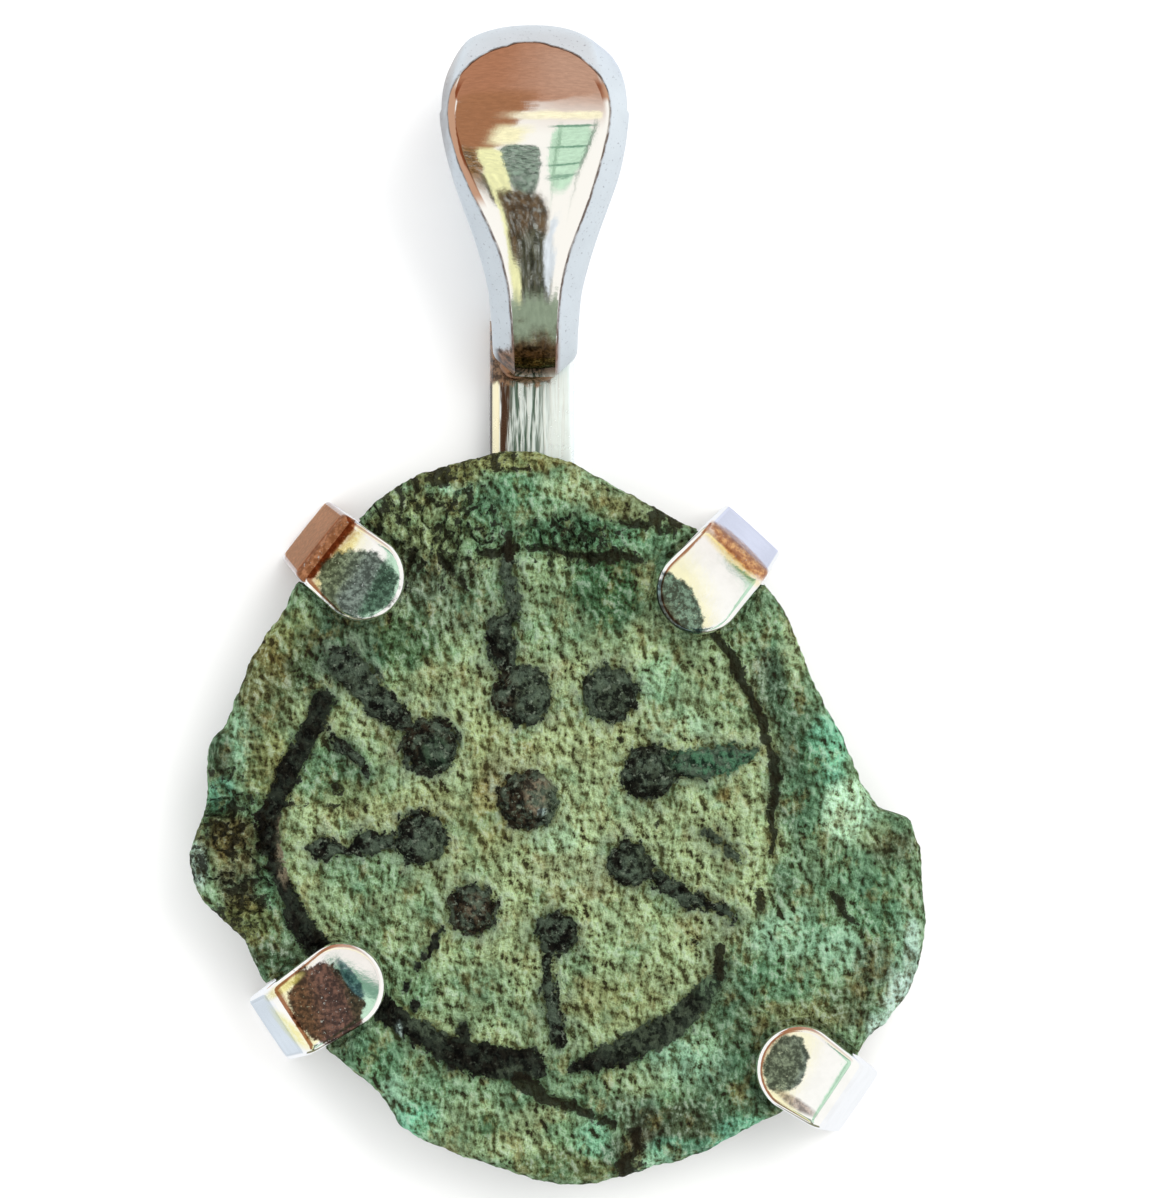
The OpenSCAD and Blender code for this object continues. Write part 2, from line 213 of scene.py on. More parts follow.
keyLight = bpy.data.lights.new("key", "AREA")
keyLight.size = view["keySize"] * mm
keyLight.energy = view["keyPower"]
keyLight.color = view["keyColour"]
key = bpy.data.objects.new("key", keyLight)
key.location = Vector(view["keyFrom"]) * mm
key.rotation_euler = Vector(view["keyFrom"]).to_track_quat("Z", "Y").to_euler()
key.visible_glossy = False
bpy.context.scene.collection.objects.link(key)

# What the polished silver reflects. Each patch: colour, middle east and north of straight up and
# half sizes in degrees, turn in degrees, softness as a share of its size, wobble in degrees.
surroundings = {
    "sky": srgb(255, 255, 252),
    "low": srgb(248, 251, 255),
    "lowBand": (78, 90),        # degrees from straight up
    "camera": (0.9, 0.9, 0.9, 1),
    "darkBelow": 0.58,          # patches with a lower sum of the linear colour are mottled and sparkle
    "sparkle": srgb(196, 204, 200),
    "patches": [
        (srgb(173, 122, 94), 0.7, 79.4, 24, 50, -15, 0.04, 3),
        (srgb(190, 152, 132), 15, 62, 15, 42, 0, 0.7, 3),
        (srgb(162, 114, 83), -16.3, -3.3, 10.5, 45, -11.8, 0.16, 5),
        (srgb(122, 92, 60), -19, -36, 4.5, 15, -4, 0.3, 4),
        (srgb(74, 64, 46), -13.5, -50, 3.2, 4, 0, 0.2, 3),
        (srgb(240, 242, 190), -11, -44, 4, 24, 0, 0.12, 2),
        (srgb(250, 246, 206), -5.5, -6, 4, 10, -11, 0.5, 2),
        (srgb(255, 250, 218), 9, 15, 12, 4, 0, 0.5, 4),
        (srgb(196, 230, 206), 9.8, -22, 4.9, 26, 0, 0.05, 0.6),
        (srgb(116, 158, 136), 9.8, 3.4, 4.9, 1.2, 0, 0.3, 0.5),
        (srgb(116, 158, 136), 9.8, -18.3, 4.9, 1.1, -5, 0.3, 0.5),
        (srgb(116, 158, 136), 9.8, -37, 4.9, 1.0, 6, 0.3, 0.5),
        (srgb(116, 158, 136), 9.8, -44.5, 4.9, 0.4, 0, 0.3, 0.4),
        (srgb(140, 176, 150), 6.9, -22, 0.35, 25, 0, 0.4, 0.4),
        (srgb(116, 140, 124), 14.8, -20, 0.4, 27, 0, 0.4, 0.4),
        (srgb(112, 130, 118), -2.8, -32, 5.3, 17, 0, 0.06, 1.5),
        (srgb(82, 66, 48), -3.5, -55, 9.5, 7, 0, 0.12, 4),
        (srgb(72, 72, 58), 0, -62, 9.5, 5.5, 0, 0.12, 3),
        (srgb(140, 156, 136), 0, -69, 30, 4, 0, 0.25, 3),
        (srgb(112, 108, 78), 0, -92, 50, 20, 0, 0.1, 4),
        (srgb(224, 234, 244), 8, -58.5, 2.2, 4.5, -12, 0.2, 6),
        (srgb(212, 178, 150), -120, 92, 24, 28, 0, 0.15, 4),
        (srgb(206, 216, 226), -128, -85, 30, 30, 0, 0.3, 4),
        (srgb(214, 220, 240), 103, 114, 40, 40, 0, 0.3, 4),
    ],
}


def paintSurroundings():
    world = bpy.data.worlds.new("surroundings")
    world.use_nodes = True
    world.cycles.sampling_method = "NONE"
    bpy.context.scene.world = world
    tree = world.node_tree
    tree.nodes.clear()
    ray = addNode(tree, "ShaderNodeTexCoord", {}).outputs["Generated"]
    parts = addNode(tree, "ShaderNodeSeparateXYZ", {0: ray})
    angle = times(tree, sums(tree, "ARCCOSINE", parts.outputs["Z"]), 180 / math.pi)
    level = addNode(tree, "ShaderNodeCombineXYZ", {0: parts.outputs["X"], 1: parts.outputs["Y"]})
    heading = vectorMath(tree, "NORMALIZE", {0: level.outputs[0]})[0]
    spread = vectorMath(tree, "SCALE", {0: heading, "Scale": angle})[0]
    rough = addNode(tree, "ShaderNodeTexNoise", {"Vector": ray, "Scale": 11.0, "Detail": 4.0,
                                                 "Roughness": 0.65}).outputs[1]
    rough = vectorMath(tree, "SUBTRACT", {0: rough, 1: (0.5, 0.5, 0.5)})[0]
    colour = mixColour(tree, ease(tree, angle, *surroundings["lowBand"]), surroundings["sky"],
                       surroundings["low"])
    mottle = noiseMap(tree, ray, 42.0, 3.0, 0.7)
    sparkle = noiseMap(tree, ray, 66.0, 2.0, 0.6)
    for tint, east, north, halfEast, halfNorth, turn, softness, wobble in surroundings["patches"]:
        shaken = vectorMath(tree, "MULTIPLY_ADD",
                            {0: rough, 1: (2 * wobble, 2 * wobble, 0), 2: spread})[0]
        inside = addNode(tree, "ShaderNodeMapping",
                         {"Vector": shaken, "Location": (east, north, 0),
                          "Rotation": (0, 0, math.radians(turn)), "Scale": (halfEast, halfNorth, 1)},
                         vector_type="TEXTURE").outputs[0]
        squared = vectorMath(tree, "MULTIPLY", {0: inside, 1: inside})[0]
        off = vectorMath(tree, "LENGTH", {0: squared})["Value"]
        share = ease(tree, sums(tree, "SQRT", off), 1 + softness, 1 - softness)
        dark = sum(tint[:3]) < surroundings["darkBelow"]
        spots = 0.65 if dark else 0.1
        spotted = mixColour(tree, 1.0, tint, ease(tree, mottle, 0.36, 0.66, 1 - spots, 1 + 1.6 * spots),
                            "MULTIPLY")
        if dark:
            spotted = mixColour(tree, ease(tree, sparkle, 0.55, 0.64, 0.0, 0.75), spotted,
                                surroundings["sparkle"])
        colour = mixColour(tree, share, colour, spotted)
    rays = addNode(tree, "ShaderNodeLightPath", {})
    fill = addNode(tree, "ShaderNodeBackground", {"Color": (1, 1, 1, 1), "Strength": view["skyFill"]})
    mirrored = addNode(tree, "ShaderNodeBackground", {"Color": colour, "Strength": 1.0})
    seen = addNode(tree, "ShaderNodeBackground", {"Color": surroundings["camera"], "Strength": 1.0})
    mixed = addNode(tree, "ShaderNodeMixShader", {0: rays.outputs["Is Glossy Ray"],
                                                  1: fill.outputs[0], 2: mirrored.outputs[0]})
    mixed = addNode(tree, "ShaderNodeMixShader", {0: rays.outputs["Is Camera Ray"],
                                                  1: mixed.outputs[0], 2: seen.outputs[0]})
    addNode(tree, "ShaderNodeOutputWorld", {"Surface": mixed.outputs[0]})


paintSurroundings()
print("camera, floor and light ready")


prong = {       # where the prongs stand, which the coin makes room for too
    # bearing and turn in degrees, how far the foot stands out and the top reaches in,
    # and how far the top leans at the bend and at the tip in degrees
    "rows": [
        (130.3, 11.2, 0.79, 1.49, -3, 9),
        (50.2, -2.4, 0.79, 1.6, -3, 7),
        (221.6, -8.1, 0.77, 1.79, -2, 10),
        (317.0, 8.6, 0.87, 1.46, -1, 6),
    ],
    "footWidth": 1.5,
    "tipWidth": 1.75,
    "thickness": 0.55,
    "strapThickness": 0.49,
    "strapSlim": 0.06,
    "strapTo": 4.9,         # radius inside the back ring
    "tipCrowding": 1.6,     # the rows along the top stand closer towards the tip
    "under": 2.2,
    "top": 2.76,
    "lean": 13.0,
    "chamfer": 0.16,
    "bendRadii": (0.2, 0.34),       # at the foot and at the top
    "bendInside": 0.05,
    "edgeRound": 0.1,
    "crown": 1.6,
    "columns": 24,
}


def wallOutside(z):
    return np.maximum(0, z - prong["chamfer"]) * math.tan(math.radians(prong["lean"]))


def wallInside(z):
    return wallOutside(z) + prong["thickness"] / math.cos(math.radians(prong["lean"]))


def prongLength(row):
    return float(wallInside(prong["under"])) + row[3]


def prongHalf(share):       # half the width, with a share of the way from the foot to the tip
    return prong["footWidth"] / 2 + (prong["tipWidth"] - prong["footWidth"]) / 2 * share


coin = {
    "field": 2.2,           # heights in mm
    "bottom": 0.85,
    "radius": 7.0,
    "edgeRound": 0.3,
    "frontCells": 256,
    "backCells": 110,
    "pelletHeight": 0.3,
    "rayHeight": 0.2,
    "ringHeight": 0.2,
    "seatGap": 0.05,
    "rimBends": [18, 36, 54, 72, 90, 90, 90, 60, 30],      # turn of the face at each row over the rim
    "rimMiddle": 5,         # the row half-way down the side
    "borderFrom": 5.2,
    "borderRise": 0.1,
    "lipBearing": 333,
    "lipSpan": 34,
    "lipRise": 0.16,
    # bearing in degrees and share of the radius
    "outline": [
        (0, 0.981), (3, 0.945), (8, 0.923), (12, 0.91), (16, 0.892), (21, 0.879), (26, 0.88),
        (30, 0.888), (36, 0.904), (43, 0.911), (51, 0.908), (59, 0.907), (62, 0.902), (67, 0.91),
        (74, 0.923), (78, 0.943), (82, 0.968), (87, 0.985), (92, 1), (99, 0.99), (108, 0.981),
        (115, 0.969), (122, 0.936), (130, 0.914), (137, 0.913), (143, 0.888), (152, 0.891),
        (159, 0.889), (166, 0.896), (170, 0.928), (175, 0.927), (180, 0.927), (183, 0.937),
        (186, 0.961), (189, 0.988), (193, 0.991), (197, 0.98), (200, 0.956), (203, 0.932),
        (207, 0.912), (213, 0.918), (222, 0.918), (232, 0.921), (238, 0.926), (243, 0.943),
        (246, 0.975), (249, 1.007), (254, 1.023), (260, 1.04), (266, 1.058), (272, 1.093),
        (279, 1.112), (287, 1.106), (295, 1.12), (303, 1.126), (309, 1.148), (315, 1.176),
        (320, 1.198), (324, 1.178), (329, 1.201), (334, 1.21), (339, 1.198), (343, 1.18),
        (348, 1.145), (353, 1.119), (357, 1.088), (358.4, 1.01)],
    # x, y and radius
    "pellets": [
        (-0.03, -0.02, 0.6), (-2.02, 1.1, 0.6), (-0.16, 2.1, 0.6), (1.58, 2.14, 0.57),
        (2.38, 0.54, 0.56), (1.98, -1.26, 0.46), (0.52, -2.66, 0.42), (-1.15, -2.2, 0.5),
        (-2.18, -0.75, 0.55)],
    # x, y and half width along each ray
    "rays": [
        [(-0.47, 5.05, .12), (-0.45, 4.6, .15), (-0.36, 4.1, .17), (-0.33, 3.75, .14),
         (-0.62, 3.35, .26), (-0.58, 3.0, .3), (-0.5, 2.7, .22)],
        [(-3.75, 2.75, .3), (-3.35, 2.35, .34), (-3.05, 2.0, .33), (-2.75, 1.72, .25),
         (-2.5, 1.55, .15)],
        [(-2.8, -.85, .14), (-3.25, -.85, .27), (-3.65, -1.02, .1), (-4.15, -.95, .24),
         (-4.45, -.95, .05)],
        [(.33, -3.2, .12), (.38, -3.6, .1), (.42, -3.9, .14), (.45, -4.2, .17), (.52, -4.5, .17),
         (.58, -4.8, .15)],
        [(2.5, -1.52, .2), (2.85, -1.75, .17), (3.15, -2.0, .17), (3.4, -1.98, .12),
         (3.7, -2.12, .13), (4.0, -2.3, .13), (4.1, -2.45, .07)],
        [(3.0, .7, .25), (3.5, .75, .3), (4.0, .86, .24), (4.3, .9, .15), (4.55, .96, .04)],
        [(-3.92, 1.27, .08), (-3.7, 1.0, .11), (-3.4, .8, .09), (-3.27, .55, .05)],
        [(3.42, -.6, .07), (3.8, -.85, .08), (4.2, -1.15, .06)],
    ],
    # a ray that shows as a ridge but keeps the field's colour, with dark lines beside it
    "paleRays": [[(-1.55, -2.75, .2), (-2.35, -4.2, .28)], [(2.2, 2.3, .08), (2.85, 3.1, .08)]],
    "rayShade": [
        [(-1.75, -2.6, .08), (-1.95, -2.9, .09), (-2.1, -3.15, .06)], [(-2.25, -3.35, .1)],
        [(-2.45, -3.75, .09)], [(-2.3, -4.1, .12)]],
    "ring": [
        [(-4.15, 1.95, .22), (-4.3, 1.5, .2), (-4.55, 1.05, .22), (-4.82, .55, .26),
         (-5.02, .1, .2), (-5.25, -.35, .25), (-5.2, -.85, .2), (-5.1, -1.3, .16),
         (-4.93, -1.7, .12), (-4.75, -2.1, .22), (-4.55, -2.6, .25), (-4.25, -2.95, .25),
         (-3.6, -3.7, .25), (-2.75, -4.3, .25), (-2.3, -4.6, .25), (-1.9, -4.8, .25),
         (-1.5, -5.05, .3), (-1, -5.15, .35), (-.5, -5.25, .35), (0, -5.3, .33)],
        [(-1.3, -4.6, .15)],
        [(.85, -5.34, .12), (1.25, -5.25, .2), (1.72, -5.08, .26), (2.3, -4.81, .29), (2.75, -4.56, .28),
         (3.16, -4.24, .26), (3.46, -3.92, .24), (3.72, -3.6, .18), (3.88, -3.3, .11)]],
    # the greener stretches of the ring, raised but light
    "paleRing": [
        [(0, -5.3, .3), (.6, -5.3, .25), (1.15, -5.2, .25)],
        [(3.95, 3.4, .22), (4.3, 2.9, .25), (4.6, 2.3, .28), (4.9, 1.6, .3), (5.1, .8, .3),
         (5.15, .1, .3), (5.1, -.6, .28), (5.05, -1.2, .2), (4.95, -1.8, .1)]],
    "cracks": [
        [(3.7, 3.3, .1), (4.0, 2.9, .1), (4.2, 2.5, .13), (4.4, 2.1, .11), (4.6, 1.7, .13),
         (4.75, 1.3, .1), (4.87, .9, .1), (4.9, .4, .1), (4.85, -.1, .1), (4.85, -.6, .09),
         (4.8, -1.1, .05)],
        [(4.6, -1.85, .1), (4.65, -2.2, .06)], [(3.8, -2.95, .1), (3.75, -3.6, .1)],
        [(0, 5.05, .05), (.6, 4.98, .06), (1.2, 4.87, .1), (1.6, 4.85, .15), (2.0, 4.87, .1),
         (2.3, 4.8, .04)],
        [(-1.0, 4.9, .08), (-.3, 5.05, .12)], [(-1.4, 4.45, .09), (-1.3, 4.2, .05)],
        [(-1.75, 4.85, .1), (-1.55, 4.6, .06)], [(-2.3, 5.0, .07), (-2.4, 4.7, .06)],
        [(-.2, -5.6, .2), (.3, -5.95, .12), (.86, -6.14, .12), (1.66, -6.5, .08)],
        [(2.1, -6.6, .12), (2.15, -7.0, .1), (1.6, -7.4, .06)],
        [(-2.0, 6.3, .06), (-1.5, 6.5, .07), (-.9, 6.62, .06), (0, 6.62, .04)],
        [(1.9, 5.55, .07), (2.4, 5.5, .08), (2.9, 5.3, .05)],
        [(6.0, -1.85, .06), (6.16, -2.08, .1), (6.35, -2.3, .06), (6.6, -2.55, .04)],
        [(-.2, -.62, .02), (-.62, -.2, .03), (-.62, .2, .03), (-.2, .62, .02)],
        [(3.3, -2.85, .09)], [(2.55, -.45, .06)], [(1.8, 1.25, .08)], [(-3.85, .25, .13)],
        [(-5.7, -1.8, .12)], [(-5.5, -1.2, .06), (-5.4, -1.7, .05)],
        [(-4.8, -.12, .02), (-3.3, -.12, .02)], [(-.43, 4.9, .12), (-.4, 5.3, .1)],
        [(.42, 4.9, .06), (.45, 4.5, .05)]],
}

tones = {       # the crust's own colours
    "sand": srgb(143, 160, 119), "light": srgb(162, 182, 140), "olive": srgb(128, 124, 70),
    "sage": srgb(108, 136, 104), "teal": srgb(78, 122, 92), "deep": srgb(58, 84, 64),
    "mint": srgb(136, 176, 148), "turquoise": srgb(108, 174, 146), "leaf": srgb(46, 82, 50),
    "grey": srgb(82, 96, 78), "brown": srgb(66, 54, 38), "tan": srgb(122, 112, 92),
    "ochre": srgb(124, 108, 60), "umber": srgb(40, 34, 22), "blueWhite": srgb(182, 206, 198),
    "soot": srgb(24, 23, 17), "ash": srgb(84, 98, 78), "straw": srgb(140, 142, 92),
    "pale": srgb(184, 220, 188),
}
# Patches of the crust, a few of them painted shade: tone, middle, half sizes and strength
crustPatches = [
    ("leaf", -2.5, 3.2, .75, .6, .75), ("leaf", 1.5, 4.2, .75, .8, 1), ("teal", -3.3, -1.4, 1.1, .4, .55),
    ("leaf", -3.3, -2.6, .5, .5, .5), ("sage", -3.0, -2.2, 1.3, 1.0, .5),
    ("teal", .9, -3.2, .35, .35, .45), ("teal", -3.8, .6, .8, .7, .7), ("deep", -3.8, .5, .6, .5, .45),
    ("deep", -3.7, 3.1, .8, .7, .8), ("sage", 0, 4.0, 2.6, 1.2, .6), ("grey", -1.7, 4.1, 1.0, .8, .6),
    ("turquoise", 2.6, 2.4, .45, .5, .35), ("sage", -1.2, -3.9, 1.2, .7, .6),
    ("teal", -2.6, -3.6, .7, .6, .5), ("sage", .3, -4.6, .9, .4, .5), ("grey", 3.9, -3.2, .6, .9, .4),
    ("sage", 3.6, 2.4, .8, 1.2, .4), ("ochre", -.75, 0, .45, .7, .6), ("ochre", 3.85, .1, .14, .14, .8),
    ("light", 1.4, -.4, 1.0, 1.3, .3), ("light", .9, 1.1, 1.0, .6, .3), ("olive", 1.6, -4.0, .9, .5, .4),
    ("teal", -3.2, -5.2, .7, .5, .6), ("mint", -2.7, -5.95, .25, .45, .9),
    ("turquoise", -2.2, -6.4, .5, .4, .8), ("sage", -1.5, -5.8, 1.0, .5, .5),
    ("sand", -1.1, -6.6, 1.0, .6, .5), ("leaf", -.85, -6.5, .2, .25, .8), ("sand", .1, -6.7, .8, .6, .8),
    ("teal", .65, -6.65, .35, .25, .6), ("turquoise", 1.3, -6.9, .4, .5, .45),
    ("olive", .7, -7.35, .9, .25, .8), ("umber", 1.8, -7.1, .35, .5, .7),
    ("tan", 2.25, -6.85, .25, .3, .6), ("grey", 2.0, -6.2, .6, .4, .6), ("umber", 3.1, -6.5, 1.1, .5, .7),
    ("mint", 3.0, -5.2, 1.0, .5, .45), ("sand", 2.2, -5.5, .7, .35, .5),
    ("turquoise", 3.1, -7.0, .9, .25, .55), ("mint", 2.5, -7.3, .5, .2, .8),
    ("sage", 4.0, -4.9, .6, .6, .5), ("deep", 4.2, -5.8, 1.0, .7, .6),
    ("turquoise", 4.3, -6.7, .6, .4, .7), ("sage", 4.6, 3.6, .5, .5, .6), ("light", 5.25, 3.0, .3, .6, .7),
    # the grey patches at (4.75, 2.2) and (5.15, 0.3) are painted shade along the raised ring's outer side
    ("grey", 4.75, 2.2, .35, .8, .8), ("deep", 5.35, 1.4, .35, .7, .6),
    ("turquoise", 6.0, 1.1, .4, .8, .75), ("grey", 5.15, .3, .4, .9, .8), ("teal", 5.6, .2, .35, 1.0, .6),
    ("pale", 6.35, -.2, .5, .55, .85), ("sand", 6.9, -.7, .4, .3, .6), ("brown", 7.3, -1.0, .5, .35, .55),
    ("teal", 6.5, -1.5, .5, .5, .5), ("teal", 6.9, -2.2, .5, .6, .6), ("sage", 5.4, -1.4, .6, .5, .5),
    ("mint", 5.2, -2.7, .8, .5, .55), ("mint", 6.2, -3.0, .5, .5, .6), ("grey", 6.85, -3.3, .4, .5, .7),
    ("brown", 6.4, -4.1, .6, .4, .45), ("mint", 7.45, -2.8, .25, .8, .6),
    ("blueWhite", 7.4, -4.0, .35, .6, .8), ("blueWhite", 7.05, -4.55, .3, .35, .7),
    ("blueWhite", 7.62, -3.1, .16, .7, .5), ("ochre", 5.3, -4.3, 1.0, .3, .4),
    ("deep", 4.2, -4.6, .5, .7, .6), ("teal", 4.9, -3.6, .7, .5, .5), ("straw", -.3, 6.8, 1.3, .25, .8),
    ("olive", -1.8, 6.5, .8, .2, .6), ("mint", -1.5, 6.15, .35, .2, .6), ("teal", -.3, 6.2, .5, .4, .7),
    ("light", .9, 6.3, .7, .35, .5), ("ochre", 1.8, 5.85, .6, .35, .5), ("sand", 2.4, 5.8, .4, .3, .6),
    ("teal", 1.0, 5.3, 1.4, .35, .7), ("olive", -2.2, 5.5, 1.0, .7, .4), ("teal", -1.0, 5.5, .8, .6, .5),
    ("grey", -2.3, 4.5, .7, .6, .6), ("olive", -4.9, 3.2, .7, .8, .6), ("ochre", -5.3, 2.3, .5, .9, .5),
    ("deep", -4.2, 2.7, .6, .8, .7), ("mint", -5.8, 1.2, .2, .5, .5), ("umber", -6.2, .9, .25, .5, .7),
    ("turquoise", -6.2, .1, .3, .35, .7), ("leaf", -6.3, -.3, .25, .25, .7),
    ("brown", -6.0, -.75, .5, .4, .75), ("tan", -5.8, -1.6, .5, .6, .5),
    ("blueWhite", -6.65, -1.3, .18, .5, .6), ("teal", -5.3, -1.9, .25, .8, .6),
    ("olive", -5.7, -2.4, .5, .5, .6), ("umber", -5.2, -3.2, .5, .4, .7), ("olive", -5.2, .7, .4, .7, .6),
    # the deep patches at (5.35, 0.1), (4.95, 2.1) and (5.1, -1.6) are painted shade along the raised ring's
    # outer side
    ("grey", -3.9, -4.6, .6, .5, .5), ("deep", 5.35, .1, .25, 1.3, .3), ("deep", 4.95, 2.1, .22, .9, .65),
    ("deep", 5.1, -1.6, .25, .5, .5), ("tan", -.4, .5, .5, .6, .35), ("tan", 1.0, -1.5, 1.2, .5, .25),
    ("straw", -1.2, -.6, 1.0, .6, .35), ("mint", 2.9, 1.5, .7, .3, .4), ("mint", .5, -.75, .5, .3, .35),
    ("deep", .6, -7.3, .8, .3, .6), ("leaf", 1.5, 4.2, .65, .7, .65), ("leaf", -2.5, 3.1, .7, .6, .25),
    ("straw", .3, 1.2, 2.6, .7, .3), ("straw", -3.3, -.1, 1.0, .5, .4), ("sand", -2.0, 5.5, .9, .6, .4),
    ("umber", -5.2, 2.4, .7, .9, .27), ("ochre", -5.9, -.9, .6, .6, .35), ("pale", 6.4, -.3, .5, .5, .3),
    ("mint", 3.0, -5.2, .8, .4, .45), ("deep", 3.2, -7.0, .4, .2, .55), ("straw", -1.9, -.1, .5, .4, .5),
    ("sage", 5.1, .4, .4, .6, .3), ("sage", 1.7, -3.1, .8, .6, .35),
]
# Patches of the dark relief; on the middle pellet the tan patch and the blue-white spot are painted
# highlights
reliefPatches = [
    ("brown", -.1, 0, .5, .6, .5), ("tan", .15, .1, .3, .38, 1), ("ash", .44, -.1, .16, .4, .8),
    ("blueWhite", .24, -.22, .09, .07, 1), ("brown", -2.1, 1.2, .5, .5, .35),
    ("deep", -1.9, .95, .3, .3, .6), ("ash", 0, 2.15, .4, .4, .6), ("brown", -.5, 2.2, .3, .5, .3),
    ("ash", 1.6, 2.2, .4, .5, .5), ("ash", 2.5, .6, .4, .4, .4), ("ash", 2.15, -1.2, .25, .3, .6),
    ("brown", -1.2, -2.2, .45, .45, .55), ("tan", -1.1, -2.1, .2, .25, .4),
    ("ash", -1.9, -1.0, .25, .3, .8), ("teal", 3.8, .8, .9, .35, .8), ("ash", -.4, 4.0, .4, 1.0, .3),
    ("tan", -4.95, -1.0, .15, .65, .9), ("ash", 2.6, -4.6, 1.6, .55, .5), ("ash", -1.9, -4.5, .5, .3, .6),
    ("blueWhite", -2.62, -4.65, .07, .2, .8), ("ash", -3.4, 2.4, .5, .5, .35),
    ("ash", 3.8, -.85, .5, .4, .5), ("ash", -.3, -5.5, .5, .2, .4), ("sage", 3.75, -3.5, .5, .6, .6),
]
# The same for the coin's reverse, seen from behind
reversePatches = [
    ("brown", -2, 1, 3, 2, .6), ("teal", 2, -2, 3, 2, .6), ("olive", 3, 3, 2, 2, .7),
    ("umber", 0, -4, 3, 1.5, .5), ("sand", -4, -2, 2, 2, .5),
]
crackle = {     # x, y and half sizes of the places; size, seed and width of the cracks
    "places": [(-2.2, 5.4, 1.9, 1.3), (-5.9, -1.2, 0.9, 2.0), (0.8, 5.2, 1.2, 0.6)],
    "sets": [(0.5, 71.0, 0.1), (0.85, 83.0, 0.09)],
    "depth": 0.13,
}


def edgeRadius(bearing):        # a smooth curve through the outline's rows
    rows = np.array(coin["outline"])
    angle = np.mod(bearing, 360)
    k = np.searchsorted(rows[:, 0], angle, side="right") - 1
    count = len(rows)
    span = np.mod(rows[(k + 1) % count, 0] - rows[k, 0], 360)
    s = (angle - rows[k, 0]) / span
    a, b, c, d = (rows[(k + step) % count, 1] for step in (-1, 0, 1, 2))
    bent = c - a + s * (2 * a - 5 * b + 4 * c - d + s * (3 * (b - c) + d - a))
    return coin["radius"] * (b + 0.5 * s * bent)


def squareToDisc(u, v):         # the square's even rings become circles
    wide = np.abs(u) >= np.abs(v)
    large = np.where(wide, u, v)
    small = np.where(wide, v, -u)
    turn = 45 * small / np.where(large == 0, 1, large) + np.where(wide, 0, 90) + np.where(large < 0, 180, 0)
    reach = np.abs(large)
    return polar(reach, turn)


def prongStand(row):        # the foot's radius and place and the way inwards
    radius = float(edgeRadius(np.array([row[0]]))[0]) + row[2]
    bearing = math.radians(row[0])
    return radius, radius * math.cos(bearing), radius * math.sin(bearing), math.radians(row[0] + 180 + row[1])


def makeCoinMesh():             # a unit disc with its rim rows, shaped afterwards
    bm = bmesh.new()
    counts = []
    rims = []
    for level, cells in ((0, coin["frontCells"]), (-1, coin["backCells"])):
        before = len(bm.verts)
        known = set(bm.edges)
        bmesh.ops.create_grid(bm, x_segments=cells, y_segments=cells, size=1)
        bm.verts.ensure_lookup_table()
        fresh = bm.verts[before:]
        flat = np.array([v.co[:2] for v in fresh])
        x, y = squareToDisc(flat[:, 0], flat[:, 1])
        for vert, px, py in zip(fresh, x.tolist(), y.tolist()):
            vert.co = (px, py, level)
        counts.append(len(fresh))
        rims.append([e for e in bm.edges if e not in known and e.is_boundary])
    edges = rims[0]
    for bend in coin["rimBends"]:
        made = bmesh.ops.extrude_edge_only(bm, edges=edges)["geom"]
        edges = [g for g in made if isinstance(g, bmesh.types.BMEdge) and g.is_boundary]
        bmesh.ops.translate(bm, verts=[g for g in made if isinstance(g, bmesh.types.BMVert)],
                            vec=(0, 0, -0.1))
    bmesh.ops.bridge_loops(bm, edges=edges + rims[1])
    return bm, counts


def faceHeight(x, y, bearing, radius, edge):        # the border's swell, the lip and slow waves
    start = coin["borderFrom"]
    rise = smooth((radius - start) / (0.5 * np.maximum(0.3, edge - start)))
    swell = 0.65 + 0.35 * np.sin(np.radians(2 * bearing + 20)) * np.sin(np.radians(5 * bearing))
    off = np.abs(np.mod(bearing - coin["lipBearing"] + 180, 360) - 180)
    lip = smooth(1.4 - 1.4 * off / coin["lipSpan"]) * smooth((radius / edge - 0.88) / 0.08)
    waves = 0.035 * noiseAt(x, y, 1.9, 3.1, 2)
    return coin["borderRise"] * rise * swell + coin["lipRise"] * lip + waves


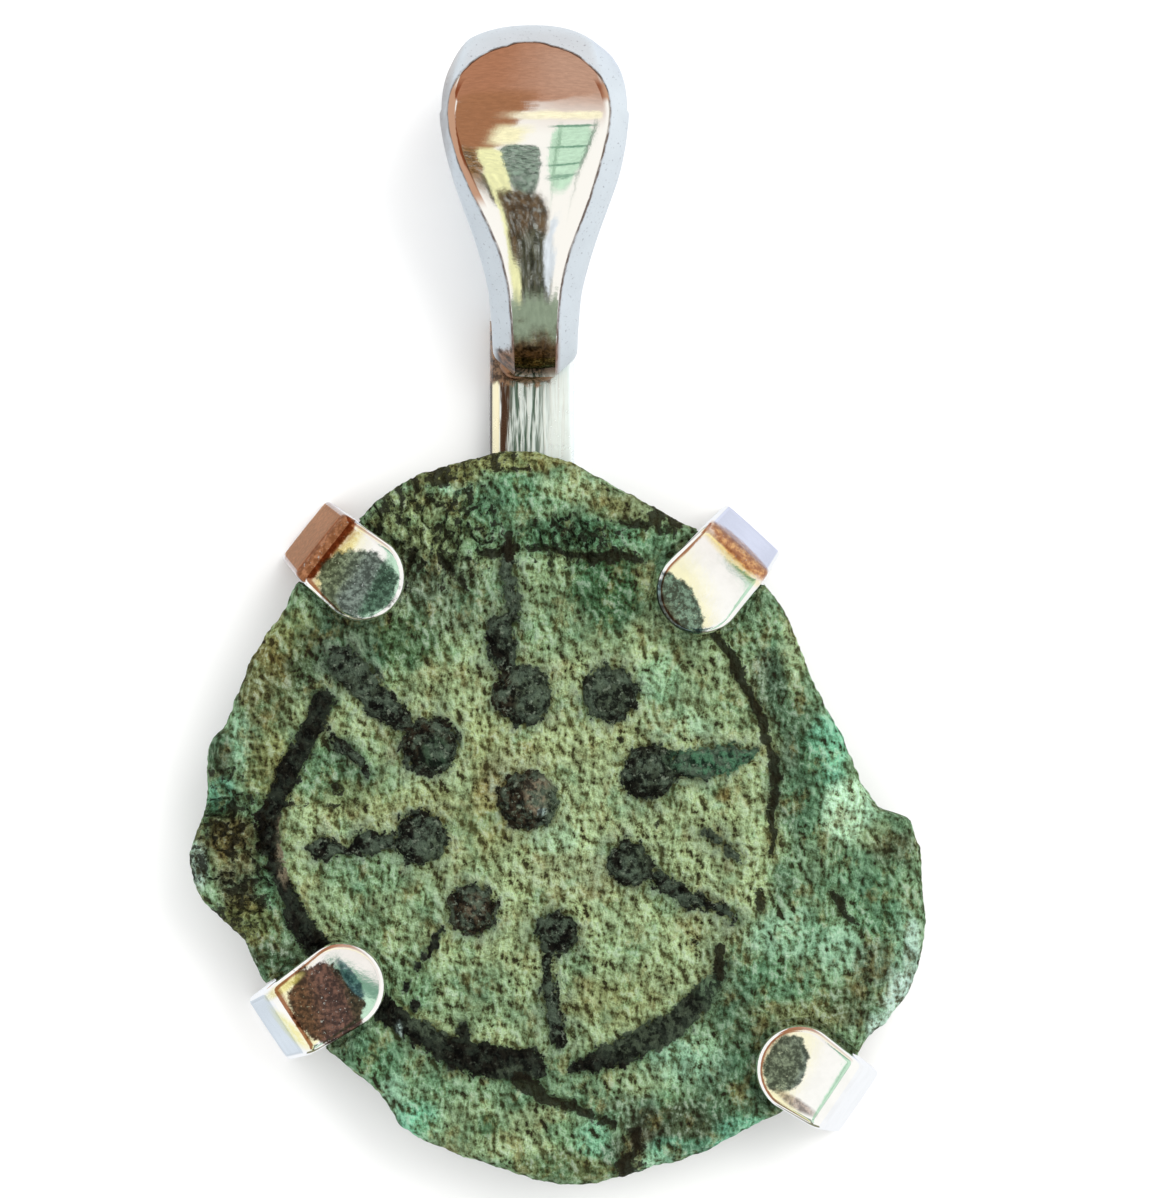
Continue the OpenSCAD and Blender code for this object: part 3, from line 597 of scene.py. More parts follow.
def reliefHeight(x, y, store):      # the star, the ring, cracks and crust; keeps the depths for colour
    warpX = x + 0.07 * noiseAt(x, y, 0.26, 7.7, 3)
    warpY = y + 0.07 * noiseAt(x, y, 0.26, 17.3, 3)
    height = np.zeros(x.shape)
    star = np.full(x.shape, -9.0)
    for px, py, r in coin["pellets"]:
        depth = r - np.hypot(warpX - px, warpY - py)
        dome = 1 - np.clip(1 - depth / r, 0, 1) ** 2
        height = np.maximum(height, coin["pelletHeight"] * dome ** 0.75 * (depth > 0))
        star = np.maximum(star, depth)
    height = height * (1 - 0.16 * (star > 0) * smooth(0.5 + noiseAt(x, y, 0.24, 5.5, 3)))
    lumps = 0.85 + 0.4 * noiseAt(x, y, 0.28, 4.4, 3)

    def ridge(points, tall, soft):
        depth = strokeDepth(warpX, warpY, points)
        return depth, tall * smooth(depth / soft + 0.35) * lumps

    for points in coin["rays"]:
        depth, rise = ridge(points, coin["rayHeight"], 0.22)
        star = np.maximum(star, depth)
        height = np.maximum(height, rise)
    for points in coin["paleRays"]:
        height = np.maximum(height, ridge(points, coin["rayHeight"] * 0.6, 0.3)[1])
    ring = np.full(x.shape, -9.0)
    for points in coin["ring"]:
        depth, rise = ridge(points, coin["ringHeight"], 0.3)
        ring = np.maximum(ring, depth)
        height = np.maximum(height, rise)
    for points in coin["paleRing"]:
        height = np.maximum(height, ridge(points, coin["ringHeight"] * 0.8, 0.3)[1])
    shade = np.full(x.shape, -9.0)
    for points in coin["rayShade"]:
        shade = np.maximum(shade, strokeDepth(warpX, warpY, points))
    crack = np.full(x.shape, -9.0)
    for points in coin["cracks"]:
        crack = np.maximum(crack, strokeDepth(warpX, warpY, points))
    height -= 0.09 * smooth(crack / 0.12 + 0.3)

    # crackled crust towards the upper left and on the left rim
    share = np.zeros(x.shape)
    for px, py, halfX, halfY in crackle["places"]:
        share = np.maximum(share, smooth(1.6 - 1.25 * np.hypot((x - px) / halfX, (y - py) / halfY)))
    plateEdge = np.full(x.shape, -9.0)
    for size, seed, width in crackle["sets"]:
        plateEdge = np.maximum(plateEdge, (width - np.abs(noiseAt(x, y, size, seed, 3))) * size * 0.5)
    height -= share * crackle["depth"] * smooth(plateEdge / 0.05 + 0.4)
    crack = np.maximum(crack, np.where(share > 0.3, plateEdge - 0.05 * (1 - share), -9.0))

    streaks = noiseAt(x * 2.8, y * 0.8, 0.6, 9.2, 4)
    streakShare = smooth(1.5 - 1.2 * np.hypot(x / 2.8, (y - 4.0) / 1.5))
    crust = noiseAt(x * 1.15, y * 0.85, 0.36, 12.5, 4)
    grains = noiseAt(x * 1.2, y * 0.8, 0.15, 21.0, 2)
    outside = smooth((np.hypot(x, y) - 4.9) / 0.6)
    height += 0.07 * streaks * streakShare + (0.014 + 0.022 * outside) * crust + 0.012 * grains
    # painted shade: the crust's height noise, kept so that its colour is darker where the crust lies lower
    store["hollowShade"] = np.clip(0.9 * streaks * streakShare + 0.5 * crust + 0.35 * grains, -1, 1)
    store["starDepth"] = star
    # ringDepth also holds the rayShade lines, painted shade beside the pale ray
    store["ringDepth"] = np.maximum(ring, shade)
    store["crackDepth"] = crack
    return height


def paintPatches(x, y, base, patches):
    colours = np.array(base)
    ragged = 0.28 * noiseAt(x, y, 0.5, 31.0, 4)
    for tone, px, py, halfX, halfY, strength in patches:
        far = np.hypot((x - px) / halfX, (y - py) / halfY) + ragged
        share = (strength * smooth((1.3 - far) / 0.6))[:, None]
        colours = colours * (1 - share) + np.array(tones[tone][:3]) * share
    return colours


def clearProngs(x, y, z):       # the coin's metal keeps a gap to the silver
    slack = coin["seatGap"] / math.cos(math.radians(prong["lean"]))
    for row in prong["rows"]:
        foot, fx, fy, aim = prongStand(row)
        inward = (x - fx) * math.cos(aim) + (y - fy) * math.sin(aim)
        across = -(x - fx) * math.sin(aim) + (y - fy) * math.cos(aim)
        length = prongLength(row)
        tip = length - prong["tipWidth"] / 2
        half = prongHalf(np.clip(inward / tip, 0, 1))
        plan = np.where(inward < tip, half - np.abs(across),
                        prong["tipWidth"] / 2 - np.hypot(inward - tip, across))
        near = (plan > -0.12) & (inward < length + 0.2)
        z = np.where(near, np.minimum(z, coin["field"] - coin["seatGap"]), z)
        wall = wallInside(z) + slack
        notch = (np.abs(across) < prong["footWidth"] / 2 + 0.1) & (inward < wall) & (inward > -2)
        push = np.where(notch, wall - inward, 0)
        x = x + push * math.cos(aim)
        y = y + push * math.sin(aim)
    return x, y, z


def buildCoin():
    bm, counts = makeCoinMesh()
    piece = newPiece("starCoin", bm, [paintCoin()])
    mesh = piece.data
    flat = np.empty(len(mesh.vertices) * 3)
    mesh.vertices.foreach_get("co", flat)
    unit = flat.reshape(-1, 3)
    bearing = np.degrees(np.arctan2(unit[:, 1], unit[:, 0]))
    share = np.hypot(unit[:, 0], unit[:, 1])
    edge = edgeRadius(bearing)
    ragged = noiseAt(*polar(edge, bearing), 0.45, 40.0, 4)
    edge = edge + 0.035 * ragged
    front = np.arange(len(unit)) < counts[0]
    back = (np.arange(len(unit)) >= counts[0]) & (np.arange(len(unit)) < sum(counts))
    inset = np.full(len(unit), coin["edgeRound"])
    drop = np.zeros(len(unit))
    rimCount = 4 * coin["frontCells"]
    rowOf = (np.arange(len(unit)) - sum(counts)) // rimCount
    for k, bend in enumerate(coin["rimBends"]):
        here = rowOf == k
        inset[here] = coin["edgeRound"] * (1 - math.sin(math.radians(bend)))
        drop[here] = coin["edgeRound"] * (1 - math.cos(math.radians(bend)))
    radius = np.where(front | back, share * (edge - coin["edgeRound"]), edge - inset)
    x, y = polar(radius, bearing)

    store = {}
    onFace = np.minimum(radius, edge - coin["edgeRound"])
    faceX, faceY = polar(onFace, bearing)
    top = coin["field"] + faceHeight(faceX, faceY, bearing, onFace, edge) + reliefHeight(faceX, faceY, store)
    under = coin["bottom"] + 0.05 * smooth(0.5 + 0.8 * noiseAt(x, y, 1.6, 50.0, 4))
    upper = ~front & ~back & (rowOf < coin["rimMiddle"])
    middle = ~front & ~back & (rowOf == coin["rimMiddle"])
    z = np.where(front, top, np.where(upper, top - drop, np.where(
        middle, (top + under) / 2, under + drop)))
    side = 0.03 * noiseAt(x, y + z * 3, 0.35, 60.0, 4) * (~front & ~back)
    x = x * (1 + side / np.maximum(radius, 1))
    y = y * (1 + side / np.maximum(radius, 1))
    x, y, z = clearProngs(x, y, z)
    mesh.vertices.foreach_set("co", toFrame(np.stack([x, y, z], axis=1)).ravel())

    far = smooth((np.hypot(x, y) - 4.9) / 0.5)[:, None]
    base = np.array(tones["sand"][:3]) * (1 - far) + np.array(tones["sage"][:3]) * far
    crustColour = paintPatches(x, y, base, crustPatches)
    reverse = paintPatches(-x, y, np.tile(np.array(tones["sage"][:3]), (len(x), 1)), reversePatches)
    crustColour = np.where((back | (~front & (rowOf > coin["rimMiddle"])))[:, None], reverse, crustColour)
    reliefColour = paintPatches(x, y, np.tile(np.array(tones["soot"][:3]), (len(x), 1)), reliefPatches)
    for name, colours in (("crust", crustColour), ("relief", reliefColour)):
        layer = mesh.attributes.new(name, "FLOAT_COLOR", "POINT")
        layer.data.foreach_set("color", np.concatenate([colours, np.ones((len(x), 1))], axis=1).ravel())
    for name, depth in store.items():
        layer = mesh.attributes.new(name, "FLOAT", "POINT")
        shown = np.where(back | (rowOf >= coin["rimMiddle"]), -1, np.clip(depth, -1, 1))
        layer.data.foreach_set("value", shown)
    mesh.shade_smooth()
    mesh.update()
    return piece


patina = {      # scales of the noises, the step of the painted emboss, and the tones of what lies on crust and relief, painted shade, highlight and rim light among them
    "grainScale": 5.8, "fineScale": 15.0, "paintedEmbossStep": 0.045,
    # darkest and lightest multipliers of the crust's colour; through level they carry painted light and
    # shade, brownish at the dark end
    "hollowShade": (0.55, 0.47, 0.31, 1), "grain": (2.7, 2.85, 2.8, 1),
    "grainHighlight": srgb(196, 212, 190), "paintedRimLight": srgb(176, 196, 168),
    "dust": srgb(118, 138, 116), "speck": srgb(160, 174, 152),
    "bump": 0.5, "specular": 0.1,
}


def paintCoin():
    material, tree, shader, place = newMaterial("patinatedBronze")

    def layer(name, output="Fac"):
        return addNode(tree, "ShaderNodeAttribute", {}, attribute_name=name).outputs[output]

    grainPlace = stretched(tree, place, (1.0, 0.72, 1.0), 8)
    grain = noiseMap(tree, grainPlace, patina["grainScale"], 4.0)
    fine = noiseMap(tree, place, patina["fineScale"])
    # painted light and shade: the grain noise less a copy shifted by a small step, lighter on one side of
    # each grain and darker on the other
    besides = vectorMath(tree, "ADD", {0: grainPlace, 1: (patina["paintedEmbossStep"], patina["paintedEmbossStep"], 0)})[0]
    paintedEmboss = sums(tree, "SUBTRACT", grain, noiseMap(tree, besides, patina["grainScale"], 4.0))
    jag = plus(tree, shake(tree, grain, 0.45), shake(tree, fine, 0.2))

    # crust: light grains with brownish hollows between them, lit and shaded in paint through level, which
    # holds the painted emboss and the painted shade of the lower crust
    level = plus(tree, times(tree, grain, 0.75), times(tree, fine, 0.24))
    level = plus(tree, level, plus(tree, times(tree, paintedEmboss, 0.85), 0.026))
    # painted shade: lower crust darker, from the stored height noise
    level = plus(tree, level, times(tree, layer("hollowShade"), 0.06))
    light = ease(tree, level, 0.28, 0.8)
    flakes = noiseMap(tree, grainPlace, 1.9, 4.0, 0.62)
    clouds = noiseMap(tree, place, 1.3, 4.0, 0.65)
    broad = ease(tree, flakes, 0.32, 0.68, 0.66, 1.34)
    shades = mixColour(tree, light, patina["hollowShade"], patina["grain"])
    shades = mixColour(tree, 1.0, shades, broad, "MULTIPLY")
    crust = layer("crust", "Color")
    crust = mixColour(tree, ease(tree, clouds, 0.5, 0.66, 0.0, 0.45), crust, tones["teal"])
    blots = noiseMap(tree, stretched(tree, place, (1.0, 0.7, 1.0), 20), 2.3, 4.0, 0.7)
    crust = mixColour(tree, ease(tree, blots, 0.5, 0.68, 0.0, 0.5), crust, tones["ochre"])
    crust = mixColour(tree, 1.0, crust, shades, "MULTIPLY")
    # painted highlight: the brightest grain tops, which include the lit side of the painted emboss, lightened
    # in clusters
    shine = times(tree, ease(tree, level, 0.54, 0.72), ease(tree, flakes, 0.42, 0.6, 0.15, 0.6))
    crust = mixColour(tree, shine, crust, patina["grainHighlight"])
    # dark brown where level is lowest: dirt in the pits and painted shade on the shaded side of the grains
    pitsAndShade = times(tree, ease(tree, level, 0.41, 0.33), ease(tree, clouds, 0.38, 0.58, 0.85, 0.3))
    crust = mixColour(tree, pitsAndShade, crust, tones["umber"])

    # relief: dark metal with grey sparkles, most of them on the star; it is lightened and darkened with
    # level, so it carries the crust's painted light and shade
    relief = mixColour(tree, 1.0, layer("relief", "Color"), ease(tree, level, 0.42, 0.66, 0.25, 1.7),
                       "MULTIPLY")
    star = layer("starDepth")
    onStar = ease(tree, star, -0.05, 0.1, 0.25, 1.0)
    dusty = ease(tree, noiseMap(tree, place, 3.6, 5.0, 0.72), 0.45, 0.6, 0.0, 0.6)
    relief = mixColour(tree, times(tree, dusty, onStar), relief, patina["dust"])
    specks = ease(tree, noiseMap(tree, place, 8.0, 3.0, 0.65), 0.58, 0.68, 0.0, 0.6)
    relief = mixColour(tree, times(tree, specks, onStar), relief, patina["speck"])
    raised = plus(tree, sums(tree, "MAXIMUM", star, layer("ringDepth")), jag)
    onRelief = ease(tree, raised, -0.025, 0.025)
    # painted light: a pale rim round the star's relief, standing in for its lit slopes
    paintedRimLight = times(tree, ease(tree, star, -0.4, -0.12, 0.0, 0.4), ease(tree, grain, 0.4, 0.6))
    colour = mixColour(tree, paintedRimLight, crust, patina["paintedRimLight"])
    colour = mixColour(tree, ease(tree, raised, -0.1, -0.02, 0.0, 0.3), colour, relief)
    colour = mixColour(tree, onRelief, colour, relief)
    crack = plus(tree, layer("crackDepth"), times(tree, jag, 0.8))
    colour = mixColour(tree, ease(tree, crack, -0.02, 0.03, 0.0, 0.92), colour, tones["umber"])
    tree.links.new(colour, shader.inputs["Base Color"])
    tree.links.new(ease(tree, onRelief, 0.0, 1.0, 0.85, 0.55), shader.inputs["Roughness"])
    shader.inputs["Specular IOR Level"].default_value = patina["specular"]
    addBump(tree, shader, patina["bump"], level)
    return material


starCoin = buildCoin()
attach(starCoin, "root")
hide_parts("coin")
print("coin built:", len(starCoin.data.vertices), "vertices")


def roundedPath(corners, radii, counts):        # points along straights and bends, counts for each in turn
    points = []
    start = Vector(corners[0])
    for k in range(1, len(corners) - 1):
        corner = Vector(corners[k])
        back = (Vector(corners[k - 1]) - corner).normalized()
        ahead = (Vector(corners[k + 1]) - corner).normalized()
        half = back.angle(ahead) / 2
        cut = radii[k - 1] / math.tan(half)
        middle = corner + (back + ahead).normalized() * radii[k - 1] / math.sin(half)
        first, last = corner + back * cut, corner + ahead * cut
        for step in range(counts[2 * k - 2]):
            points.append(start.lerp(first, step / counts[2 * k - 2]))
        turnFrom = math.atan2(*(first - middle).yx)
        swing = (math.atan2(*(last - middle).yx) - turnFrom + math.pi) % (2 * math.pi) - math.pi
        for step in range(counts[2 * k - 1]):
            angle = turnFrom + swing * step / counts[2 * k - 1]
            points.append(middle + radii[k - 1] * Vector((math.cos(angle), math.sin(angle))))
        start = last
    for step in range(counts[-1] + 1):
        points.append(start.lerp(Vector(corners[-1]), step / counts[-1]))
    return points


def buildProng(row):
    length = prongLength(row)
    footRadius, fx, fy, aim = prongStand(row)
    strapEnd = footRadius - prong["strapTo"]
    counts = [8, 8, 10, 10, 30]
    topZ = prong["top"]
    topFrom = sum(counts[:4])
    leanA, leanB = math.radians(row[4]), math.radians(row[5])

    def outerPath(z):
        wall = float(wallOutside(z))
        end = (length, z - math.tan(leanA) * (length - wall))
        return roundedPath([(strapEnd, 0), (0, 0), (wall, z), end], prong["bendRadii"], counts)

    def topHeight(path, inward):        # the top bows from one lean to the other
        run = inward - path[topFrom].x
        bow = (leanB - leanA) * run * run / 2 / (length - path[topFrom].x)
        return path[topFrom].y - math.tan(leanA) * run - bow

    outer = outerPath(topZ)
    peak = max(topHeight(outer, outer[topFrom].x + (length - outer[topFrom].x) * k / 20) for k in range(21))
    outer = outerPath(2 * topZ - peak)
    thick, under = prong["strapThickness"], prong["under"]
    inner = roundedPath([(strapEnd, thick), (float(wallInside(0.5)), thick),
                         (float(wallInside(under)), under), (length, under)],
                        [prong["bendInside"]] * 2, counts)
    stations = len(outer) - 1
    columns = prong["columns"]
    bm = bmesh.new()
    bmesh.ops.create_grid(bm, x_segments=stations, y_segments=columns, size=1)
    outside = [(v, round((v.co.x + 1) / 2 * stations), v.co.y) for v in bm.verts]
    made = bmesh.ops.extrude_face_region(bm, geom=bm.faces[:])["geom"]
    inside = [(v, round((v.co.x + 1) / 2 * stations), v.co.y) for v in made
              if isinstance(v, bmesh.types.BMVert)]
    tip = length - prong["tipWidth"] / 2
    halfTip = prong["tipWidth"] / 2

    for verts, path, isOuter in ((outside, outer, True), (inside, inner, False)):
        for vert, station, level in verts:
            side = math.sin(level * math.pi / 2)
            px, pz = path[station].x, path[station].y
            if station >= topFrom:
                share = (station - topFrom) / counts[4]
                share = 1 - (1 - share) ** prong["tipCrowding"]
                end = tip + math.sqrt(max(0, halfTip ** 2 - (halfTip * side) ** 2))
                px = path[topFrom].x + (end - path[topFrom].x) * share
            half = prongHalf(min(1, max(0, px / tip)))
            if station < counts[0]:
                half -= prong["strapSlim"]
            across = half * side
            if isOuter:
                fromEdge = half - abs(across)
                if px > tip:
                    fromEdge = max(0, halfTip - math.hypot(px - tip, across))
                r = prong["edgeRound"]
                sink = r - math.sqrt(max(0, r * r - max(0, r - fromEdge) ** 2))
                crown = math.radians(prong["crown"]) * (across / half) ** 2 * half / 2
                if station >= topFrom:
                    pz = topHeight(path, px) - sink - crown
                else:
                    ahead = (path[station + 1] - path[max(0, station - 1)]).normalized()
                    px += ahead.y * (sink + crown)
                    pz += -ahead.x * (sink + crown)
            vert.co = (px, across, pz)
    for vert in bm.verts:
        px, py, pz = vert.co
        vert.co = (fx + px * math.cos(aim) - py * math.sin(aim),
                   fy + px * math.sin(aim) + py * math.cos(aim), pz)
    return bm


ringAndStem = {
    "ringRadius": 5.6, "ringWidth": 1.4, "ringThickness": 0.8, "bevel": 0.12,
    "stemX": 0.03, "stemWidth": 1.72, "stemThickness": 0.8, "stemFrom": 4.9, "stemTo": 9.658,
    "stemLeftRound": 0.34, "turns": 160,
    "sharpFrom": 38,        # degrees between faces, for the whole setting
}


def buildRing():
    bm = bmesh.new()
    middle = ringAndStem["ringRadius"] - ringAndStem["ringWidth"] / 2
    bmesh.ops.create_grid(bm, x_segments=1, y_segments=1, size=0.5)
    for vert in bm.verts:
        vert.co = (middle + vert.co.x * ringAndStem["ringWidth"], 0,
                   (vert.co.y + 0.5) * ringAndStem["ringThickness"])
    bmesh.ops.bevel(bm, geom=bm.verts[:], offset=ringAndStem["bevel"], segments=3, profile=0.5,
                    affect="VERTICES", material=-1)
    bmesh.ops.delete(bm, geom=bm.faces[:], context="FACES_ONLY")
    bmesh.ops.spin(bm, geom=bm.edges[:] + bm.verts[:], axis=(0, 0, 1), cent=(0, 0, 0), angle=2 * math.pi,
                   steps=ringAndStem["turns"], use_merge=True)
    return bm


def buildStem():
    bm = bmesh.new()
    bmesh.ops.create_cube(bm, size=1)
    size = ringAndStem
    for vert in bm.verts:
        vert.co = (size["stemX"] + vert.co.x * size["stemWidth"],
                   size["stemFrom"] + (vert.co.y + 0.5) * (size["stemTo"] - size["stemFrom"]),
                   (vert.co.z + 0.5) * size["stemThickness"])
    long = [e for e in bm.edges if abs(e.verts[0].co.y - e.verts[1].co.y) > 1]
    upperLeft = [e for e in long if e.verts[0].co.x < 0 and e.verts[0].co.z > 0.1]
    rest = [e for e in long if e not in upperLeft]
    bmesh.ops.bevel(bm, geom=upperLeft, offset=size["stemLeftRound"], segments=8, profile=0.5,
                    affect="EDGES", material=-1)
    bmesh.ops.bevel(bm, geom=rest, offset=size["bevel"], segments=4, profile=0.5, affect="EDGES",
                    material=-1)
    return bm


bail = {
    "x": 0.0988, "footY": 8.508, "height": 6.95, "width": 3.8, "thickness": 0.9,
    "headY": 13.308, "headZ": 2.262, "headRadius": 2.15,
    "smallY": 9.658, "smallZ": 1.262, "smallRadius": 1.15,
    "dome": 0.2, "faceShift": -0.1, "flankDepth": 0.4,
    "legTilts": (22.5, 38.4),       # how far the front leg's face leans at the head and at the foot
    # height, width of the outline and of the polished face as shares
    "rows": [
        (0, 0.42, 0.22), (0.07, 0.45, 0.225), (0.13, 0.454, 0.235), (0.2, 0.475, 0.25),
        (0.246, 0.489, 0.274), (0.333, 0.572, 0.349), (0.419, 0.673, 0.478), (0.505, 0.79, 0.619),
        (0.59, 0.9, 0.736), (0.678, 0.967, 0.822), (0.735, 0.99, 0.843), (0.793, 0.98, 0.817),
        (0.85, 0.955, 0.76), (0.9, 0.92, 0.7), (1, 0.84, 0.62)],
    "crownFrom": 0.735, "crownPower": 2.3, "crownHalf": 0.495, "crownSoft": 0.0012,
    # height and width of the polished teardrop as shares
    "faceRows": [
        (0, 0.22), (0.13, 0.235), (0.246, 0.274), (0.333, 0.349), (0.419, 0.478), (0.505, 0.619),
        (0.59, 0.736), (0.678, 0.822), (0.735, 0.843), (0.785, 0.817), (0.838, 0.728), (0.892, 0.526),
        (0.919, 0.33), (0.931, 0.16), (0.936, 0)],
    "legSteps": 40, "headSteps": 76, "footSteps": 28,
}


def bailHalf(y, column):        # half the width at a height along the bail
    rows = bail["rows"]
    s = (y - bail["footY"]) / bail["height"]
    around = [np.interp(s + d, [r[0] for r in rows], [r[column] for r in rows])
              for d in (-0.03, -0.015, 0, 0.015, 0.03)]
    return bail["width"] / 2 * sum(around) / len(around)


def faceMiddle(y):      # the face stands a little to the left on the head
    return bail["faceShift"] * float(smooth(((y - bail["footY"]) / bail["height"] - 0.35) / 0.3))


def bailStations():     # round the loop from the foot's back: outer point and the way outwards, in degrees
    head, small = Vector((bail["headY"], bail["headZ"])), Vector((bail["smallY"], bail["smallZ"]))
    tilts = [90 + tilt for tilt in bail["legTilts"]]

    def outward(way):
        return Vector((math.cos(math.radians(way)), math.sin(math.radians(way))))

    stations = []
    legs, heads, feet = bail["legSteps"], bail["headSteps"], bail["footSteps"]
    low, high = small + outward(-90) * bail["smallRadius"], head + outward(-90) * bail["headRadius"]
    for k in range(legs):
        stations.append((low.lerp(high, k / legs), -90))
    for k in range(heads):
        way = -90 + (tilts[0] + 90) * k / heads
        stations.append((head + outward(way) * bail["headRadius"], way))
    start = head + outward(tilts[0]) * bail["headRadius"]
    end = small + outward(tilts[1]) * bail["smallRadius"]
    reach = (end - start).length / 3
    first = start + outward(tilts[0] + 90) * reach
    second = end - outward(tilts[1] + 90) * reach
    for k in range(legs):
        s = k / legs
        point = (start * (1 - s) ** 3 + first * (3 * s * (1 - s) ** 2) + second * (3 * s * s * (1 - s))
                 + end * s ** 3)
        stations.append((point, tilts[0] + (tilts[1] - tilts[0]) * s))
    for k in range(feet):
        way = tilts[1] + (270 - tilts[1]) * k / feet
        stations.append((small + outward(way) * bail["smallRadius"], way))
    return stations


def buildBail():
    stations = bailStations()
    # half a section, from the middle of the face to the middle of the inside:
    # share of the face, share from face to outline, depth as a share of the strip's thickness
    half = [(f, 0.0, 0.0) for f in np.linspace(0, 0.97, 13)]
    half += [(1.0, 0.02, 0.025), (1.0, 0.2, 0.1), (1.0, 0.4, 0.18), (1.0, 0.6, 0.26), (1.0, 0.78, 0.34),
             (1.0, 0.92, 0.42), (1.0, 1.0, 0.52), (1.0, 1.0, 0.65), (1.0, 1.0, 0.8), (1.0, 0.97, 0.9),
             (1.0, 0.88, 0.97)]
    half += [(f, 0.8, 1.0) for f in np.linspace(1.0, 0.0, 8)]
    around = len(half) * 2 - 2
    bm = bmesh.new()
    bmesh.ops.create_circle(bm, segments=around, radius=0.3)
    for vert in bm.verts:
        angle = math.atan2(vert.co.y, vert.co.x)
        vert.co = (1 + 0.3 * math.cos(angle), 0, 0.3 * math.sin(angle))
    bmesh.ops.spin(bm, geom=bm.edges[:] + bm.verts[:], axis=(0, 0, 1), cent=(0, 0, 0),
                   angle=2 * math.pi, steps=len(stations), use_merge=True)
    for vert in bm.verts:
        px, py, pz = vert.co
        station = round(math.atan2(py, px) / (2 * math.pi) * len(stations)) % len(stations)
        place = round(math.atan2(pz, math.hypot(px, py) - 1) / (2 * math.pi) * around)
        side = 1 if place >= 0 else -1
        share, outwards, depth = half[min(abs(place), len(half) - 1)]
        outer, way = stations[station]
        normal = Vector((math.cos(math.radians(way)), math.sin(math.radians(way))))
        spot = outer - normal * depth * bail["thickness"]
        faceHalf, wholeHalf = bailHalf(spot.x, 2), bailHalf(spot.x, 1)
        across = share * (faceHalf + (wholeHalf - faceHalf) * outwards)
        onFront = float(smooth((normal.y - 0.1) / 0.4))
        shift = faceMiddle(spot.x) * (1 - float(smooth(depth / bail["flankDepth"]))) * onFront
        if depth < 0.01:        # the domed face
            spot = spot + normal * (bail["dome"] * (1 - share ** 2) * float(smooth(faceHalf / 1.5)) * 0.6)
        crownY = bail["footY"] + bail["crownFrom"] * bail["height"]
        rise = (spot.x - crownY) / ((1 - bail["crownFrom"]) * bail["height"])
        if rise > 0:        # the head is rounded off to its outline as seen from the front
            power = bail["crownPower"]
            reach = (rise ** power + (across / (bail["crownHalf"] * bail["width"])) ** power) ** (1 / power)
            over = reach - 1 + 0.02 * depth
            keep = 1 - 0.5 * (over + math.sqrt(over * over + bail["crownSoft"])) / max(reach, 0.3)
            across *= keep
            spot.x = crownY + (spot.x - crownY) * keep
        vert.co = (bail["x"] + side * across + shift, spot.x, spot.y)
    return bm


solder = {"middle": (0.0, 8.72, 0.86), "halfSizes": (0.62, 0.34, 0.4), "lumps": 0.06, "lumpScale": 2.2}


def buildSolder():      # the bead between the stem and the bail's foot
    bm = bmesh.new()
    bmesh.ops.create_uvsphere(bm, u_segments=32, v_segments=20, radius=1)
    for vert in bm.verts:
        lump = 1 + solder["lumps"] * noise.noise(vert.co * solder["lumpScale"])
        vert.co = [m + c * h * lump for m, c, h in zip(solder["middle"], vert.co, solder["halfSizes"])]
    return bm


def markBailFace(mesh):     # how far inside the teardrop face each point lies, in mm
    flat = np.empty(len(mesh.vertices) * 3)
    mesh.vertices.foreach_get("co", flat)
    place = flat.reshape(-1, 3) / mm - np.array([starAt[0], starAt[1], 0])
    outline = []
    for share in np.linspace(0, 1, 90):
        height = bail["faceRows"][-1][0] * math.sin(share * math.pi / 2)
        wide = np.mean([np.interp(height + d, *zip(*bail["faceRows"])) for d in (-0.012, 0, 0.012)])
        y = bail["footY"] + bail["height"] * height
        outline.append((faceMiddle(y) + bail["x"], y, bail["width"] / 2 * (wide if share < 1 else 0)))
    middles, heights, halves = np.array(outline).T
    x, y, z = place.T
    inside = np.interp(y, heights, halves) - np.abs(x - np.interp(y, heights, middles))
    inside = np.where(y > heights[-1], -1.0, inside)
    away = np.full(len(x), -9.0)
    for side in (-1, 1):
        edge = [(m + side * h, v, 0.0) for m, v, h in outline]
        away = np.maximum(away, strokeDepth(x, y, edge))
    depth = np.where(inside > 0, -away, away)
    onFront = (y > bail["footY"] - 0.2) & (z > 0.9 + np.interp(y, [8.5, 13.3], [0.0, 1.9]))
    layer = mesh.attributes.new("faceDepth", "FLOAT", "POINT")
    layer.data.foreach_set("value", np.where(onFront, np.clip(depth, -1, 1), -1.0))


